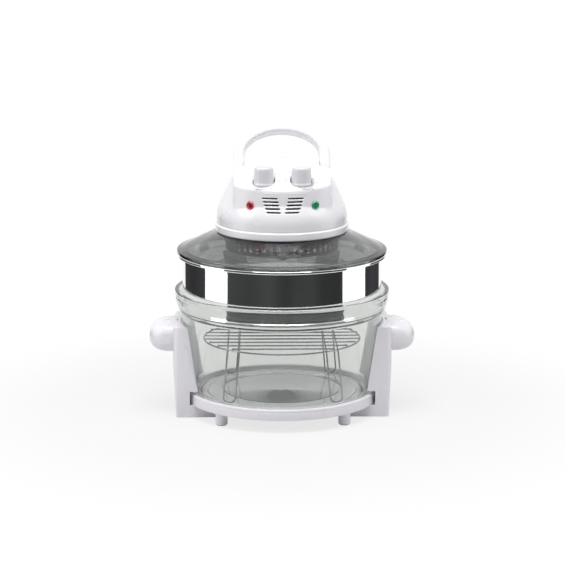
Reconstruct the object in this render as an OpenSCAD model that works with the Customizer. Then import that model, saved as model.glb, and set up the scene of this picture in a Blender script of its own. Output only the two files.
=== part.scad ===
// Halogen oven: a glass bowl in a plastic base with two side arms, a steel
// extension ring, and a glass lid that carries the heater and control head.
// Millimetres. +Z is up, the front faces -Y, the origin is on the table under
// the bowl's centre.

/* [Base] */
// Width of the tray's rim round the foot of the bowl
tray_rim_w = 11; // [9.5:0.5:14]
// Height of the tray's skirt
tray_h = 17; // [15:1:20]
// Height of the tray's underside above the table
foot_h = 20; // [17:1:26]
// Radius of each foot
foot_r = 9.5; // [8:0.5:11]
// Distance of each foot's centre in from the tray's edge
foot_inset = 14.4; // [14:0.2:18]
// Wall of the moulded base parts
base_wall = 3; // [2.5:0.5:3.5]

/* [Arms] */
// Half depth of the side arms, front to back
arm_half_y = 62; // [54:1:66]
// Distance of the arm's outer face beyond the bowl's rim
arm_out = 2; // [0:0.5:6]
// Distance of the arm's top below the bowl's rim
arm_drop = 52; // [46:1:58]
// How far the foot bar runs in under the tray
bar_reach = 55; // [46:1:58]
// How far each grip stands out of its arm
grip_reach = 39; // [30:1:42]
// Height of the grips
grip_h = 45; // [38:1:50]
// Half length of the grips
grip_half_y = 45; // [36:1:50]

/* [Bowl] */
// Outer radius of the bowl at its floor
bowl_foot_r = 142; // [134:1:150]
// How far the bowl's wall flares out from its floor to its neck
bowl_flare = 19; // [16:0.5:22]
// How far the collar stands out from the neck
collar_out = 9; // [8.5:0.5:11]
// Height of the bowl from its foot to its rim
bowl_h = 171; // [166:1:176]
// Height of the collar that takes the extension ring
collar_h = 27; // [23:1:31]
// Thickness of the bowl's glass
bowl_t = 5; // [4.5:0.25:5.5]

/* [Rack] */
// Gap between the rack's wire ring and the radius of the bowl's foot
rack_inset = 18; // [16:1:26]
// Height of the rack above the bowl's floor
rack_h = 85; // [70:1:95]
// Radius of the rack's wire
wire_r = 1.3; // [1.2:0.1:1.8]
// Number of bars across the rack
rack_bar_count = 9; // [7:1:11]

/* [Ring] */
// Distance of the extension ring's wall inside the bowl's neck
ring_inset = 3.4; // [3:0.1:4]
// Height of the extension ring
ring_h = 86; // [76:1:96]
// Thickness of the ring's sheet steel
ring_t = 0.8; // [0.7:0.1:1]

/* [Lid] */
// Overhang of the lid's rim beyond the ring's wall
lid_overhang = 8.4; // [7.8:0.2:10]
// Thickness of the lid's glass
lid_t = 5; // [4.5:0.25:5.5]
// Rise of the lid from its rim to its flat middle
lid_rise = 29; // [24:1:34]
// How far the heater pan is wider than the hole in the lid
pan_lap = 6; // [5:0.5:7]
// Depth of the heater pan
pan_depth = 28; // [26:1:31]
// Distance of the ring-shaped halogen tube inside the pan's wall
tube_inset = 28; // [24:1:32]

/* [Head] */
// How far the flange stands out round the bottom of the head
flange_out = 2.5; // [2:0.5:4]
// Height of the flange
flange_h = 13; // [11:1:15]
// Radius of the head above its flange
dome_r = 102.5; // [98:0.5:106]
// Wall of the head's shell
head_wall = 2.5; // [2:0.25:3]
// Height of the head's flat top above its flange
head_h = 98; // [96:1:101]
// Distance of the console's cheeks inside the head's radius
cheek_w = 26.5; // [25:0.5:28.5]
// Slope of the control panel in degrees
panel_slope = 26; // [24:1:28]

/* [Controls] */
// Radius of the knobs
knob_r = 16.5; // [14.5:0.5:17]
// Height of a knob
knob_h = 34; // [30:1:35]
// Half spacing of the two knobs
knob_x = 29; // [27:1:31]
// Radius of the pilot lamps' windows
lamp_r = 6.5; // [5:0.5:7]
// Slots in each cooling vent
vent_count = 5; // [3:1:5]

/* [Handle] */
// Width of the handle's legs
leg_w = 17; // [14:0.5:18]
// Depth of the handle, front to back when upright
leg_depth = 28; // [24:1:28]
// Height from the pivots to the inside of the handle's arch
arch_inner = 61; // [60:1:66]
// Thickness of the handle at the top of its arch
arch_t = 13; // [10:1:16]
// Angle of the handle behind upright, as shown
handle_tilt = 25; // [0:1:40]

/* [Hidden] */

// Radii that follow from each other: tray, bowl, rack, ring and lid
tray_r = bowl_foot_r + tray_rim_w;
bowl_neck_r = bowl_foot_r + bowl_flare;
bowl_rim_r = bowl_neck_r + collar_out;
rack_r = bowl_foot_r - rack_inset;
ring_r = bowl_neck_r - ring_inset;
lid_r = ring_r + lid_overhang;
foot_turn = 46.2;
foot_x = (tray_r - foot_inset) * cos(foot_turn);
foot_y = (tray_r - foot_inset) * sin(foot_turn);
arm_x = bowl_rim_r + arm_out;
bar_end_x = tray_r - bar_reach;

// The head, and what hangs under the lid's hole
flange_r = dome_r + flange_out;
console_half_w = dome_r - cheek_w;
lid_hole_r = dome_r - 18.5;
pan_r = lid_hole_r + pan_lap;
tube_ring_r = pan_r - tube_inset;

// Clearance between pieces that lift off each other
lift_gap = 0.3;
// Radial clearance of a shaft in its bush
run_gap = 0.05;
// Radial clearance of a screw in its hole
screw_gap = 0.1;
// Small amount by which a cut runs past the face it opens
past = 1;
// Steps of a full circle
$fn = 96;
// Plain screw sizes: shank, head radius and head height
screw_r = 1.5;
screw_head_r = 3;
screw_head_h = 2.4;

// Heights, from the table up
tray_floor_t = 3;
bowl_z = foot_h + 7;
tray_top = foot_h + tray_h;
rim_z = bowl_z + bowl_h;
arm_top = rim_z - arm_drop;
grip_z = arm_top - grip_h;
ledge_z = rim_z - collar_h;
ring_top = ledge_z + ring_h;
gasket_t = 1;
lid_flat_z = ring_top + lid_rise;
lid_top = lid_flat_z + lid_t;
base_z = lid_top + gasket_t;
shell_z = base_z + flange_h;
top_z = shell_z + head_h;
pan_top = lid_flat_z - gasket_t;

// Tray: land between the bowl's seat and the skirt
bowl_seat_r = bowl_foot_r + 2.5;
pad_h = 2.5;
pad_r = foot_r - 2;
foot_wall = 2.5;
tray_rib_count = 8;

// Arms
arm_foot_z = 1.5;
arm_corner_r = 9;
arm_draft = 4;
notch_gap = 6;
bar_top = foot_h;
arm_bowl_gap = 3;
cover_t = 2;
arm_screw_x = [bar_end_x + 12, bar_end_x + 30];
arm_screw_y = 34;
grip_corner_r = 20;

// Bowl
bowl_corner_r = 12;
bowl_floor_z = bowl_z + 2 + bowl_t;
ledge_r = bowl_neck_r - bowl_t - 1;
collar_in_r = ring_r + 5;
bowl_ring_step = 24;

// Rack
rack_z = bowl_floor_z + rack_h;
rack_gap = 0.05;
bar_pitch = 2 * (rack_r - 12) / rack_bar_count;
rail_x = [0.54 * rack_r, 0.54 * rack_r + 18];
rail_y = 0.75 * rack_r;
leg_lean = 5;
rail_bend_r = 4;

// A solid of revolution about the upright axis
module lathe(outline) {
    rotate_extrude() polygon(outline);
}

// Points of a circular arc, from one angle to another
function arc(cx, cy, r, from, to, steps) =
    [for (i = [0 : steps]) let (a = from + (to - from) * i / steps) [cx + r * cos(a), cy + r * sin(a)]];

// Points of an elliptical arc, from one angle to another
function oval(cx, cy, rx, ry, from, to, steps) =
    [for (i = [0 : steps]) let (a = from + (to - from) * i / steps) [cx + rx * cos(a), cy + ry * sin(a)]];

// A round bar between two points
module rod(start, end, r) {
    run = end - start;
    length = norm(run);
    translate(start)
        rotate([0, acos(run[2] / length), atan2(run[1], run[0])])
            cylinder(h = length, r = r, $fn = 24);
}

// A rectangle with round corners, centred
module round_rect(w, d, r) {
    square([w - 2 * r, d], center = true);
    square([w, d - 2 * r], center = true);
    for (x = [-1, 1], y = [-1, 1])
        translate([x * (w / 2 - r), y * (d / 2 - r)]) circle(r = r, $fn = 48);
}

// One screw standing head down, its shank running up from z = 0
module screw(length) {
    cylinder(h = length, r = screw_r, $fn = 24);
    difference() {
        translate([0, 0, -screw_head_h]) cylinder(h = screw_head_h, r = screw_head_r, $fn = 32);
        for (turn = [0, 90])
            rotate(turn) translate([0, 0, -screw_head_h]) cube([3.2, 0.7, 2], center = true);
    }
}

// ---------------------------------------------------------------- base

module tray_outline() {
    skirt_in = tray_r - base_wall;
    lathe([
        [0, bowl_z - tray_floor_t], [bowl_seat_r + 2.5, bowl_z - tray_floor_t],
        [bowl_seat_r + 2.5, tray_top - 3], [skirt_in, tray_top - 3], [skirt_in, foot_h],
        [tray_r - 0.6, foot_h], [tray_r, foot_h + 0.6], [tray_r, tray_top - 2],
        [tray_r - 2, tray_top], [bowl_seat_r + 1.5, tray_top], [bowl_seat_r, tray_top - 1.5],
        [bowl_seat_r, bowl_z], [0, bowl_z]
    ]);
}

module base_tray() {
    color("whitesmoke") difference() {
        union() {
            tray_outline();
            intersection() {
                translate([0, 0, foot_h]) cylinder(h = bowl_z - foot_h - 1, r = tray_r - base_wall + 0.5);
                for (i = [0 : tray_rib_count - 1])
                    rotate((i + 0.5) * 360 / tray_rib_count)
                        translate([20, -1, foot_h]) cube([tray_r, 2, bowl_z - foot_h - 1]);
            }
            for (x = [-1, 1], y = [-1, 1])
                translate([x * foot_x, y * foot_y, foot_h]) cylinder(h = 6, r = foot_r + 2);
            for (side = [-1, 1], x = arm_screw_x, y = [-1, 1])
                translate([side * x, y * arm_screw_y, foot_h]) cylinder(h = 6, r = 4.5);
        }
        for (x = [-1, 1], y = [-1, 1])
            translate([x * foot_x, y * foot_y, foot_h - past]) cylinder(h = past + 4, r = foot_r - 1.9);
        for (side = [-1, 1], x = arm_screw_x, y = [-1, 1])
            translate([side * x, y * arm_screw_y, foot_h - past])
                cylinder(h = past + 5, r = screw_r + screw_gap, $fn = 24);
    }
}

module tray_feet() {
    color("whitesmoke") for (x = [-1, 1], y = [-1, 1])
        translate([x * foot_x, y * foot_y, 0]) difference() {
            union() {
                translate([0, 0, 1]) cylinder(h = foot_h - 1, r = foot_r);
                translate([0, 0, foot_h - past]) cylinder(h = past + 3.5, r = foot_r - 2);
            }
            cylinder(h = pad_h, r = pad_r + run_gap);
            translate([0, 0, pad_h + 2]) cylinder(h = foot_h + 10, r = foot_r - 2 - foot_wall);
        }
}

module foot_pads() {
    color("dimgray") for (x = [-1, 1], y = [-1, 1])
        translate([x * foot_x, y * foot_y, 0]) cylinder(h = pad_h, r = pad_r);
}

// Front view of the right arm: a column, and the bar that runs in under the tray
module arm_front_view(inset) {
    polygon([
        [bar_end_x + inset, arm_foot_z - 2 * inset], [arm_x - arm_draft - inset, arm_foot_z - 2 * inset],
        [arm_x - inset, arm_top * 0.6], [arm_x - inset, arm_top - 5 - inset],
        [arm_x - 5, arm_top - inset], [bowl_foot_r - 20, arm_top - inset],
        [bowl_foot_r - 20, bar_top - inset], [bar_end_x + inset, bar_top - inset]
    ]);
}

// The space that the bowl and the tray need between the arms
module arm_clear_space(inset) {
    neck_z = ledge_z - 8;
    translate([0, 0, bowl_z])
        cylinder(h = neck_z - bowl_z, r1 = bowl_foot_r + arm_bowl_gap + inset,
            r2 = bowl_neck_r + arm_bowl_gap + inset);
    translate([0, 0, foot_h - inset])
        cylinder(h = tray_h + notch_gap + 2 * inset, r = tray_r + notch_gap + inset);
}

module arm_form(inset) {
    difference() {
        intersection() {
            translate([0, arm_half_y - inset, 0]) rotate([90, 0, 0])
                linear_extrude(2 * (arm_half_y - inset)) arm_front_view(inset);
            translate([(bar_end_x + arm_x) / 2, 0, -past - 2 * inset]) linear_extrude(arm_top + 10)
                round_rect(arm_x - bar_end_x - 2 * inset, 2 * (arm_half_y - inset), arm_corner_r - inset);
        }
        arm_clear_space(inset);
    }
}

// Holes of the screws that hold an arm to the tray and a grip to an arm
module arm_screw_places() {
    for (x = arm_screw_x, y = [-1, 1])
        translate([x, y * arm_screw_y, bar_top - base_wall]) children();
}

module right_arm_shape() {
    difference() {
        union() {
            difference() {
                arm_form(0);
                arm_form(base_wall);
            }
            intersection() {
                arm_form(0);
                for (y = [-1, 1]) translate([arm_x - 45, y * arm_half_y / 3 - 1, cover_t + arm_foot_z])
                    cube([50, 2, arm_top]);
            }
        }
        arm_screw_places() translate([0, 0, -past]) cylinder(h = 20, r = screw_r + screw_gap, $fn = 24);
        grip_screw_places() translate([0, 0, -past]) cylinder(h = 20, r = screw_r + screw_gap, $fn = 24);
    }
}

module arm_cover_outline(inset) {
    w = arm_x - arm_draft - bar_end_x - 2 * base_wall;
    translate([bar_end_x + base_wall + w / 2, 0])
        round_rect(w - 2 * inset, 2 * (arm_half_y - base_wall - inset), arm_corner_r - base_wall - inset);
}

module right_arm_cover_shape() {
    translate([0, 0, arm_foot_z]) linear_extrude(cover_t) arm_cover_outline(0.2);
}

// Front view of the right grip: round on top and outside, flat underneath
module grip_front_view(inset) {
    polygon(concat(
        [[arm_x, grip_z + inset], [arm_x + grip_reach - 8, grip_z + inset]],
        arc(arm_x + grip_reach - 8, grip_z + 8, 8 - inset, -80, 0, 6),
        oval(arm_x + 4, grip_z + 14, grip_reach - 4 - inset, arm_top - grip_z - 14 - inset, 5, 90, 12),
        [[arm_x, arm_top - inset]]
    ));
}

module grip_form(inset) {
    intersection() {
        translate([0, grip_half_y - inset, 0]) rotate([90, 0, 0])
            linear_extrude(2 * (grip_half_y - inset)) grip_front_view(inset);
        translate([arm_x, 0, 0]) linear_extrude(arm_top + 10)
            round_rect(2 * (grip_reach - inset), 2 * (grip_half_y - inset), grip_corner_r - inset);
    }
}

grip_screw_y = grip_half_y - 16;
grip_screw_z = grip_z + 13;

module grip_screw_places() {
    for (y = [-1, 1]) translate([arm_x - base_wall, y * grip_screw_y, grip_screw_z]) rotate([0, 90, 0]) children();
}

module right_grip_shape() {
    difference() {
        union() {
            difference() {
                grip_form(0);
                grip_form(base_wall);
            }
            intersection() {
                grip_form(0);
                grip_screw_places() translate([0, 0, base_wall]) cylinder(h = 60, r = 4.5);
            }
        }
        grip_screw_places() cylinder(h = base_wall + 12, r = screw_r + screw_gap, $fn = 24);
    }
}

module left_arm() { color("lavender") mirror([1, 0, 0]) right_arm_shape(); }
module right_arm() { color("lavender") right_arm_shape(); }
module left_arm_cover() { color("gainsboro") mirror([1, 0, 0]) right_arm_cover_shape(); }
module right_arm_cover() { color("gainsboro") right_arm_cover_shape(); }
module left_grip() { color("whitesmoke") mirror([1, 0, 0]) right_grip_shape(); }
module right_grip() { color("whitesmoke") right_grip_shape(); }

module arm_screws() {
    color("silver") for (side = [0, 1]) mirror([side, 0, 0]) {
        arm_screw_places() screw(base_wall + 4.5);
        grip_screw_places() screw(base_wall + 11);
    }
}

// ---------------------------------------------------------------- bowl

module glass_bowl() {
    t = bowl_t;
    neck_z = ledge_z - 8;
    in_foot = bowl_foot_r - t;
    color("lightgray", 0.5) lathe(concat(
        [[0, bowl_z + 2], [bowl_foot_r - 24, bowl_z + 2], [bowl_foot_r - 22, bowl_z],
            [bowl_foot_r - 14, bowl_z], [bowl_foot_r - 12, bowl_z + 2]],
        arc(bowl_foot_r - bowl_corner_r, bowl_z + 2 + bowl_corner_r, bowl_corner_r, -84, -6, 6),
        [[bowl_neck_r, neck_z], [bowl_neck_r + 3, neck_z + 4], [bowl_rim_r - 1.5, ledge_z + 8],
            [bowl_rim_r - 1, rim_z - 8], [bowl_rim_r, rim_z - 5.5], [bowl_rim_r, rim_z - 1.5],
            [bowl_rim_r - 1.5, rim_z], [collar_in_r + 1, rim_z], [collar_in_r, rim_z - 1],
            [collar_in_r, ledge_z], [ledge_r, ledge_z], [ledge_r, neck_z]],
        arc(in_foot - bowl_corner_r + 4, bowl_floor_z + bowl_corner_r - 4, bowl_corner_r - 4, -4, -86, 6),
        [[0, bowl_floor_z]]
    ));
}

// ---------------------------------------------------------------- rack

module rack_ring() {
    color("silver") translate([0, 0, rack_z])
        rotate_extrude() translate([rack_r, 0]) circle(r = wire_r, $fn = 24);
}

function bar_y(i) = (i - (rack_bar_count - 1) / 2) * bar_pitch;

module rack_bars() {
    z = rack_z + 2 * wire_r + rack_gap;
    color("silver") for (i = [0 : rack_bar_count - 1]) {
        half = sqrt(pow(rack_r, 2) - pow(bar_y(i), 2));
        rod([-half, bar_y(i), z], [half, bar_y(i), z], wire_r);
    }
}

rail_z = rack_z - 2 * wire_r - rack_gap;

module rack_rails() {
    color("silver") for (side = [-1, 1], x = rail_x)
        rod([side * x, -rail_y, rail_z], [side * x, rail_y, rail_z], wire_r);
}

// A bent wire: rings of points carried along a path, joined into one closed skin
function unit(v) = v / norm(v);

function path_dirs(path, ends) = [for (i = [0 : len(path) - 1])
    i == 0 ? ends[0] : i == len(path) - 1 ? ends[1] : unit(path[i + 1] - path[i - 1])];

function carried(dirs, side, i) =
    let (flat = unit(side - (side * dirs[i]) * dirs[i]))
    i == len(dirs) - 1 ? [flat] : concat([flat], carried(dirs, flat, i + 1));

module wire(path, ends, r, first_side, sides) {
    dirs = path_dirs(path, ends);
    across = carried(dirs, first_side, 0);
    rings = len(path);
    points = [for (i = [0 : rings - 1], k = [0 : sides - 1])
        let (a = 360 * k / sides)
        path[i] + r * (cos(a) * across[i] + sin(a) * cross(dirs[i], across[i]))];
    walls = [for (i = [0 : rings - 2], k = [0 : sides - 1])
        let (a = i * sides + k, b = i * sides + (k + 1) % sides)
        each [[a, b + sides, b], [a, a + sides, b + sides]]];
    caps = [[for (k = [0 : sides - 1]) k], [for (k = [sides - 1 : -1 : 0]) (rings - 1) * sides + k]];
    polyhedron(points, concat(walls, caps));
}

// One leg: a narrow wire loop that leans outward and stands on the bowl's floor
module rack_leg() {
    spread = rail_x[1] - rail_x[0];
    loop_r = spread / 2 * cos(leg_lean);
    down = [sin(leg_lean), 0, -cos(leg_lean)];
    back = [0, 1, 0];
    inward = [-cos(leg_lean), 0, -sin(leg_lean)];
    near_top = [rail_x[0], rail_y, rail_z];
    far_top = [rail_x[1], rail_y, rail_z];
    reach = (rail_z - bowl_floor_z - wire_r - loop_r + loop_r * sin(leg_lean)) / cos(leg_lean);
    middle = near_top + rail_bend_r * back + reach * down - loop_r * inward;
    path = concat(
        [for (a = [0 : 22.5 : 90]) near_top + rail_bend_r * (sin(a) * back + (1 - cos(a)) * down)],
        [for (a = [0 : 22.5 : 180]) middle + loop_r * (cos(a) * inward + sin(a) * down)],
        [for (a = [90 : -22.5 : 0]) far_top + rail_bend_r * (sin(a) * back + (1 - cos(a)) * down)]
    );
    wire(path, [back, -back], wire_r, [1, 0, 0], 10);
}

module rack_legs() {
    color("silver") for (x = [0, 1], y = [0, 1])
        mirror([x, 0, 0]) mirror([0, 1 - y, 0]) rack_leg();
}

// ---------------------------------------------------------------- ring

ring_bead_r = 2;

// Height where the ring's straight wall ends and its flange begins
flange_seam_z = ring_top - 14;

module extension_ring() {
    r = ring_r;
    t = ring_t;
    z = ledge_z;
    color("silver") lathe([
        [r - t, z + 1], [r - t, flange_seam_z], [r, flange_seam_z], [r, z + 2 * ring_bead_r],
        [r + 1.5, z + 2 * ring_bead_r], [r + 3.5, z + ring_bead_r + 1],
        [r + 3.5, z + 1], [r + 2.5, z], [r, z]
    ]);
}

// The flange that stands on the wall and carries the lid, with its rolled edge
module ring_flange() {
    r = ring_r;
    t = ring_t;
    color("silver") lathe([
        [r - t, flange_seam_z], [r - t, ring_top - 12], [lid_r - 9 - t, ring_top - 6], [lid_r - 9 - t, ring_top - 1],
        [lid_r - 8, ring_top], [lid_r - 1, ring_top], [lid_r, ring_top - 1], [lid_r, ring_top - 4],
        [lid_r - 1.5, ring_top - 5], [lid_r - 3, ring_top - 4], [lid_r - 3, ring_top - 2],
        [lid_r - 8, ring_top - 2], [lid_r - 8, ring_top - 6.5], [r, ring_top - 12.5], [r, flange_seam_z]
    ]);
}

// ---------------------------------------------------------------- lid and heater

skirt_r = lid_r - 10.5;
slope_end_r = lid_hole_r + 20;

module glass_lid() {
    z = ring_top;
    color("lightgray", 0.5) lathe([
        [lid_hole_r, lid_flat_z], [slope_end_r - 2, lid_flat_z], [skirt_r, z + 2.5], [skirt_r - 5, z + 2],
        [skirt_r - 5, z - 3.5], [skirt_r - 4.5, z - 4], [skirt_r - 0.5, z - 4], [skirt_r, z - 3.5],
        [skirt_r, z], [lid_r - 0.5, z], [lid_r, z + 0.5], [lid_r, z + lid_t - 1.5],
        [lid_r - 1.5, z + lid_t], [skirt_r + 4, z + lid_t + 1.5], [slope_end_r + 5, lid_top - 2.5],
        [slope_end_r + 2, lid_top - 0.6], [slope_end_r - 1, lid_top], [lid_hole_r, lid_top]
    ]);
}

// Radius of the circle of screws that clamp head, lid and heater together
clamp_r = lid_hole_r - 6;
pan_flange_r = pan_r + 6;
pan_t = 1.2;

module clamp_places() {
    for (turn = [0 : 90 : 270]) rotate(turn) translate([clamp_r, 0, 0]) children();
}

module upper_gasket() {
    color("dimgray") translate([0, 0, lid_top]) difference() {
        cylinder(h = gasket_t, r = slope_end_r - 3);
        translate([0, 0, -past]) cylinder(h = gasket_t + 2 * past, r = lid_hole_r + 0.5);
    }
}

module lower_gasket() {
    color("dimgray") translate([0, 0, pan_top]) difference() {
        cylinder(h = gasket_t, r = pan_flange_r - 0.5);
        translate([0, 0, -past]) cylinder(h = gasket_t + 2 * past, r = lid_hole_r + 0.5);
    }
}

shaft_r = 2.5;
shaft_hole_r = 6;

module insulation_disc() {
    color("tan") translate([0, 0, pan_top]) difference() {
        cylinder(h = gasket_t, r = lid_hole_r - 0.5);
        translate([0, 0, -past]) cylinder(h = gasket_t + 2 * past, r = shaft_hole_r);
        clamp_places() translate([0, 0, -past]) cylinder(h = 4, r = screw_r + screw_gap, $fn = 24);
    }
}

pan_z = pan_top - pan_depth;
pan_lip = 7;
pan_slot_count = 48;
guard_wire_r = 1.2;
guard_z = pan_z - guard_wire_r - 0.05;
guard_outer_r = pan_r - pan_lip - 1.5;
clip_r = pan_r - 4;

module clip_places() {
    for (turn = [30 : 120 : 270]) rotate(turn) translate([clip_r, 0, 0]) children();
}

module heater_pan() {
    color("silver") difference() {
        lathe([
            [shaft_hole_r, pan_top - pan_t], [pan_r - pan_t, pan_top - pan_t], [pan_r - pan_t, pan_z + pan_t],
            [pan_r - pan_lip, pan_z + pan_t], [pan_r - pan_lip, pan_z], [pan_r, pan_z],
            [pan_r, pan_top - pan_t], [pan_flange_r, pan_top - pan_t], [pan_flange_r, pan_top],
            [shaft_hole_r, pan_top]
        ]);
        clamp_places() translate([0, 0, pan_top - 5]) cylinder(h = 10, r = screw_r + screw_gap, $fn = 24);
        clip_places() translate([0, 0, pan_z - 5]) cylinder(h = 10, r = screw_r + screw_gap, $fn = 24);
        for (i = [0 : pan_slot_count - 1]) rotate((i + 0.5) * 360 / pan_slot_count)
            translate([pan_r - 5, -3.5, pan_z + 6]) cube([10, 7, pan_depth - 12]);
    }
}

module clamp_screws() {
    color("silver") clamp_places() translate([0, 0, pan_top - pan_t]) screw(14);
}

tube_r = 5;
tube_z = pan_z + 13;
tube_gap_deg = 15;

module halogen_tube() {
    color("orange", 0.7) translate([0, 0, tube_z]) rotate(tube_gap_deg - 90)
        rotate_extrude(angle = 360 - 2 * tube_gap_deg) translate([tube_ring_r, 0]) circle(r = tube_r, $fn = 32);
}

// Ceramic blocks hang from the pan's roof; the wide one holds both ends of the tube
module tube_holders() {
    color("ivory") difference() {
        for (place = [[270, 22], [30, 6], [150, 6]]) rotate(place[0])
            translate([tube_ring_r - 9, -place[1], tube_z - 7.5])
                cube([18, 2 * place[1], pan_top - pan_t - tube_z + 7.5]);
        translate([0, 0, tube_z]) rotate_extrude()
            translate([tube_ring_r, 0]) circle(r = tube_r + run_gap, $fn = 32);
    }
}

module guard_grille() {
    color("silver") translate([0, 0, guard_z]) {
        for (r = [guard_outer_r : -16 : 15])
            rotate_extrude() translate([r, 0]) circle(r = guard_wire_r, $fn = 24);
        for (turn = [0 : 60 : 300]) rotate(turn)
            rod([17, 0, 0], [guard_outer_r, 0, 0], guard_wire_r - 0.1);
    }
}

module guard_clips() {
    color("silver") clip_places() {
        translate([0, 0, pan_z - 2 * guard_wire_r - 1.6]) cylinder(h = 1.5, r = 5.5, $fn = 32);
        translate([0, 0, pan_z - 2 * guard_wire_r - 1]) cylinder(h = 8, r = screw_r, $fn = 24);
    }
}

// ---------------------------------------------------------------- head

head_screw_r = dome_r - 7;
base_floor_t = 3;
base_hole_r = 14;

module head_screw_places() {
    for (turn = [45 : 90 : 315]) rotate(turn) translate([head_screw_r, 0, 0]) children();
}

motor_post_x = lid_hole_r - 38;
motor_plate_z = base_z + 20;

module head_base() {
    z = base_z;
    color("whitesmoke") difference() {
        union() {
            lathe([
                [base_hole_r, z], [flange_r - 1.5, z], [flange_r, z + 1.5], [flange_r, shell_z - 1.5],
                [flange_r - 1.5, shell_z], [dome_r - 4, shell_z], [dome_r - 4, shell_z - 3],
                [dome_r - 1.5, shell_z - 3], [dome_r - 1.5, z + base_floor_t], [base_hole_r, z + base_floor_t]
            ]);
            clamp_places() translate([0, 0, pan_top + gasket_t])
                cylinder(h = z - pan_top - gasket_t + 11, r = 5, $fn = 48);
            intersection() {
                head_screw_places() translate([0, 0, z]) cylinder(h = flange_h, r = 5.5, $fn = 48);
                translate([0, 0, z]) cylinder(h = flange_h, r = dome_r);
            }
        }
        clamp_places() translate([0, 0, pan_top]) cylinder(h = 15.5, r = screw_r + screw_gap, $fn = 24);
        head_screw_places() translate([0, 0, z - past]) {
            cylinder(h = past + 8, r = screw_head_r + 0.2, $fn = 32);
            cylinder(h = 30, r = screw_r + screw_gap, $fn = 24);
        }
    }
}

// Outline of the dome: a round shoulder, then a straight slope
shoulder_z = shell_z + 8;
shoulder_round = 0.54 * dome_r;
dome_slope = 24;
dome_end_z = top_z - 19;
slope_r = dome_r - shoulder_round * (1 - cos(dome_slope));
slope_z = shoulder_z + shoulder_round * sin(dome_slope);
dome_end_r = slope_r - (dome_end_z - slope_z) * tan(dome_slope);

// Console: a fuller front that carries the sloping panel
console_front = dome_r - 10.5;
console_y = 12;
console_draft = 0.06;
lens_r = 0.8 * dome_r;
lens_front = 0.215 * dome_r;
lens_back = 0.225 * dome_r;
back_slope = 40;
core_half_w = console_half_w - leg_w - 0.5;
core_y = -2;
notch_y = -leg_depth / 2 - 1.5;
pivot_z = top_z - 17;
shelf_z = pivot_z - leg_depth / 2 - 0.5;

// Flat seat at the back for the mains inlet
inlet_z = shell_z + 18;
inlet_pad_w = 50;
inlet_pad_h = 31;
inlet_face_y = dome_r + 0.3;

module dome(inset) {
    sink = inset > 0 ? past : 0;
    difference() {
        intersection() {
            lathe(concat(
                [[0, shell_z - sink], [dome_r - inset, shell_z - sink]],
                arc(dome_r - shoulder_round - inset, shoulder_z, shoulder_round, 0, dome_slope, 6),
                [[dome_end_r - inset, dome_end_z - inset], [dome_end_r - 3 - inset, dome_end_z + 4 - inset],
                    [0, dome_end_z + 4 - inset]]
            ));
            panel_cone(lens_r - lens_front, panel_slope, inset);
        }
        translate([-dome_r, notch_y - inset, shelf_z - inset]) cube([2 * dome_r, 2 * dome_r, head_h]);
    }
}

// A cone that slopes down from the edge of the flat top
module panel_cone(y, slope, inset) {
    edge_r = lens_r - inset * (1 / cos(slope) - 1) / tan(slope);
    drop = head_h + 2;
    translate([0, y, 0]) lathe([
        [0, top_z - inset - drop], [edge_r + drop / tan(slope), top_z - inset - drop],
        [edge_r, top_z - inset], [0, top_z - inset]
    ]);
}

// Plan of the console: its full width in front, a rounded core between the handle's legs
module console_plan(inset) {
    w = core_half_w - inset;
    translate([-console_half_w + inset, -2 * dome_r])
        square([2 * (console_half_w - inset), 2 * dome_r + notch_y - inset]);
    translate([-w, notch_y - 30]) square([2 * w, core_y - notch_y + 30]);
    translate([0, core_y]) circle(r = w);
}

module console(inset) {
    sink = inset > 0 ? past : 0;
    r_top = console_front + console_y - inset - 33 * console_draft;
    intersection() {
        translate([0, console_y, 0]) lathe([
            [0, shell_z - sink], [r_top + head_h * console_draft, shell_z - sink], [r_top, top_z], [0, top_z]
        ]);
        panel_cone(lens_r - lens_front, panel_slope, inset);
        panel_cone(lens_back - lens_r, back_slope, inset);
        translate([0, 0, shell_z - sink]) linear_extrude(head_h + 2) console_plan(inset);
    }
}

module inlet_pad(inset) {
    w = inlet_pad_w - 2 * inset;
    h = inlet_pad_h - 2 * inset;
    translate([-w / 2, dome_r - 20, inlet_z - h / 2]) cube([w, inlet_face_y - dome_r + 20 - inset, h]);
}

module head_form(inset) {
    dome(inset);
    console(inset);
    inlet_pad(inset);
}

// Knobs stand upright in round wells sunk into the sloping panel
knob_y = -(console_front - 27);
well_gap = 0.7;
well_floor_z = top_z - 36;
well_t = 2.5;
knob_z = well_floor_z + 1.5;

module knob_places() {
    for (side = [-1, 1]) translate([side * knob_x, knob_y, 0]) children();
}

// Pilot lamps look out of the fascia on both sides of the vents
lamp_x = 52;
lamp_z = top_z - 58.5;
lamp_turn = 28.4;
lamp_out = console_front + console_y + 1.8;

module lamp_place(side) {
    translate([0, console_y, lamp_z]) rotate(side * lamp_turn) rotate([90, 0, 0])
        translate([0, 0, lamp_out]) children();
}

slot_h = 2.4;
slot_pitch = 5.3;
slot_top_z = top_z - 46.5;

module vent_slots() {
    for (side = [0, 1], i = [0 : vent_count - 1]) mirror([side, 0, 0])
        translate([7.7 - 1.2 * i, -console_front - 12, slot_top_z - i * slot_pitch - slot_h / 2])
            cube([24.8 - 0.5 * i, 30, slot_h]);
}

pin_r = 4;
boss_r = 8;
boss_in_x = core_half_w - head_wall - 4.5;

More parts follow.
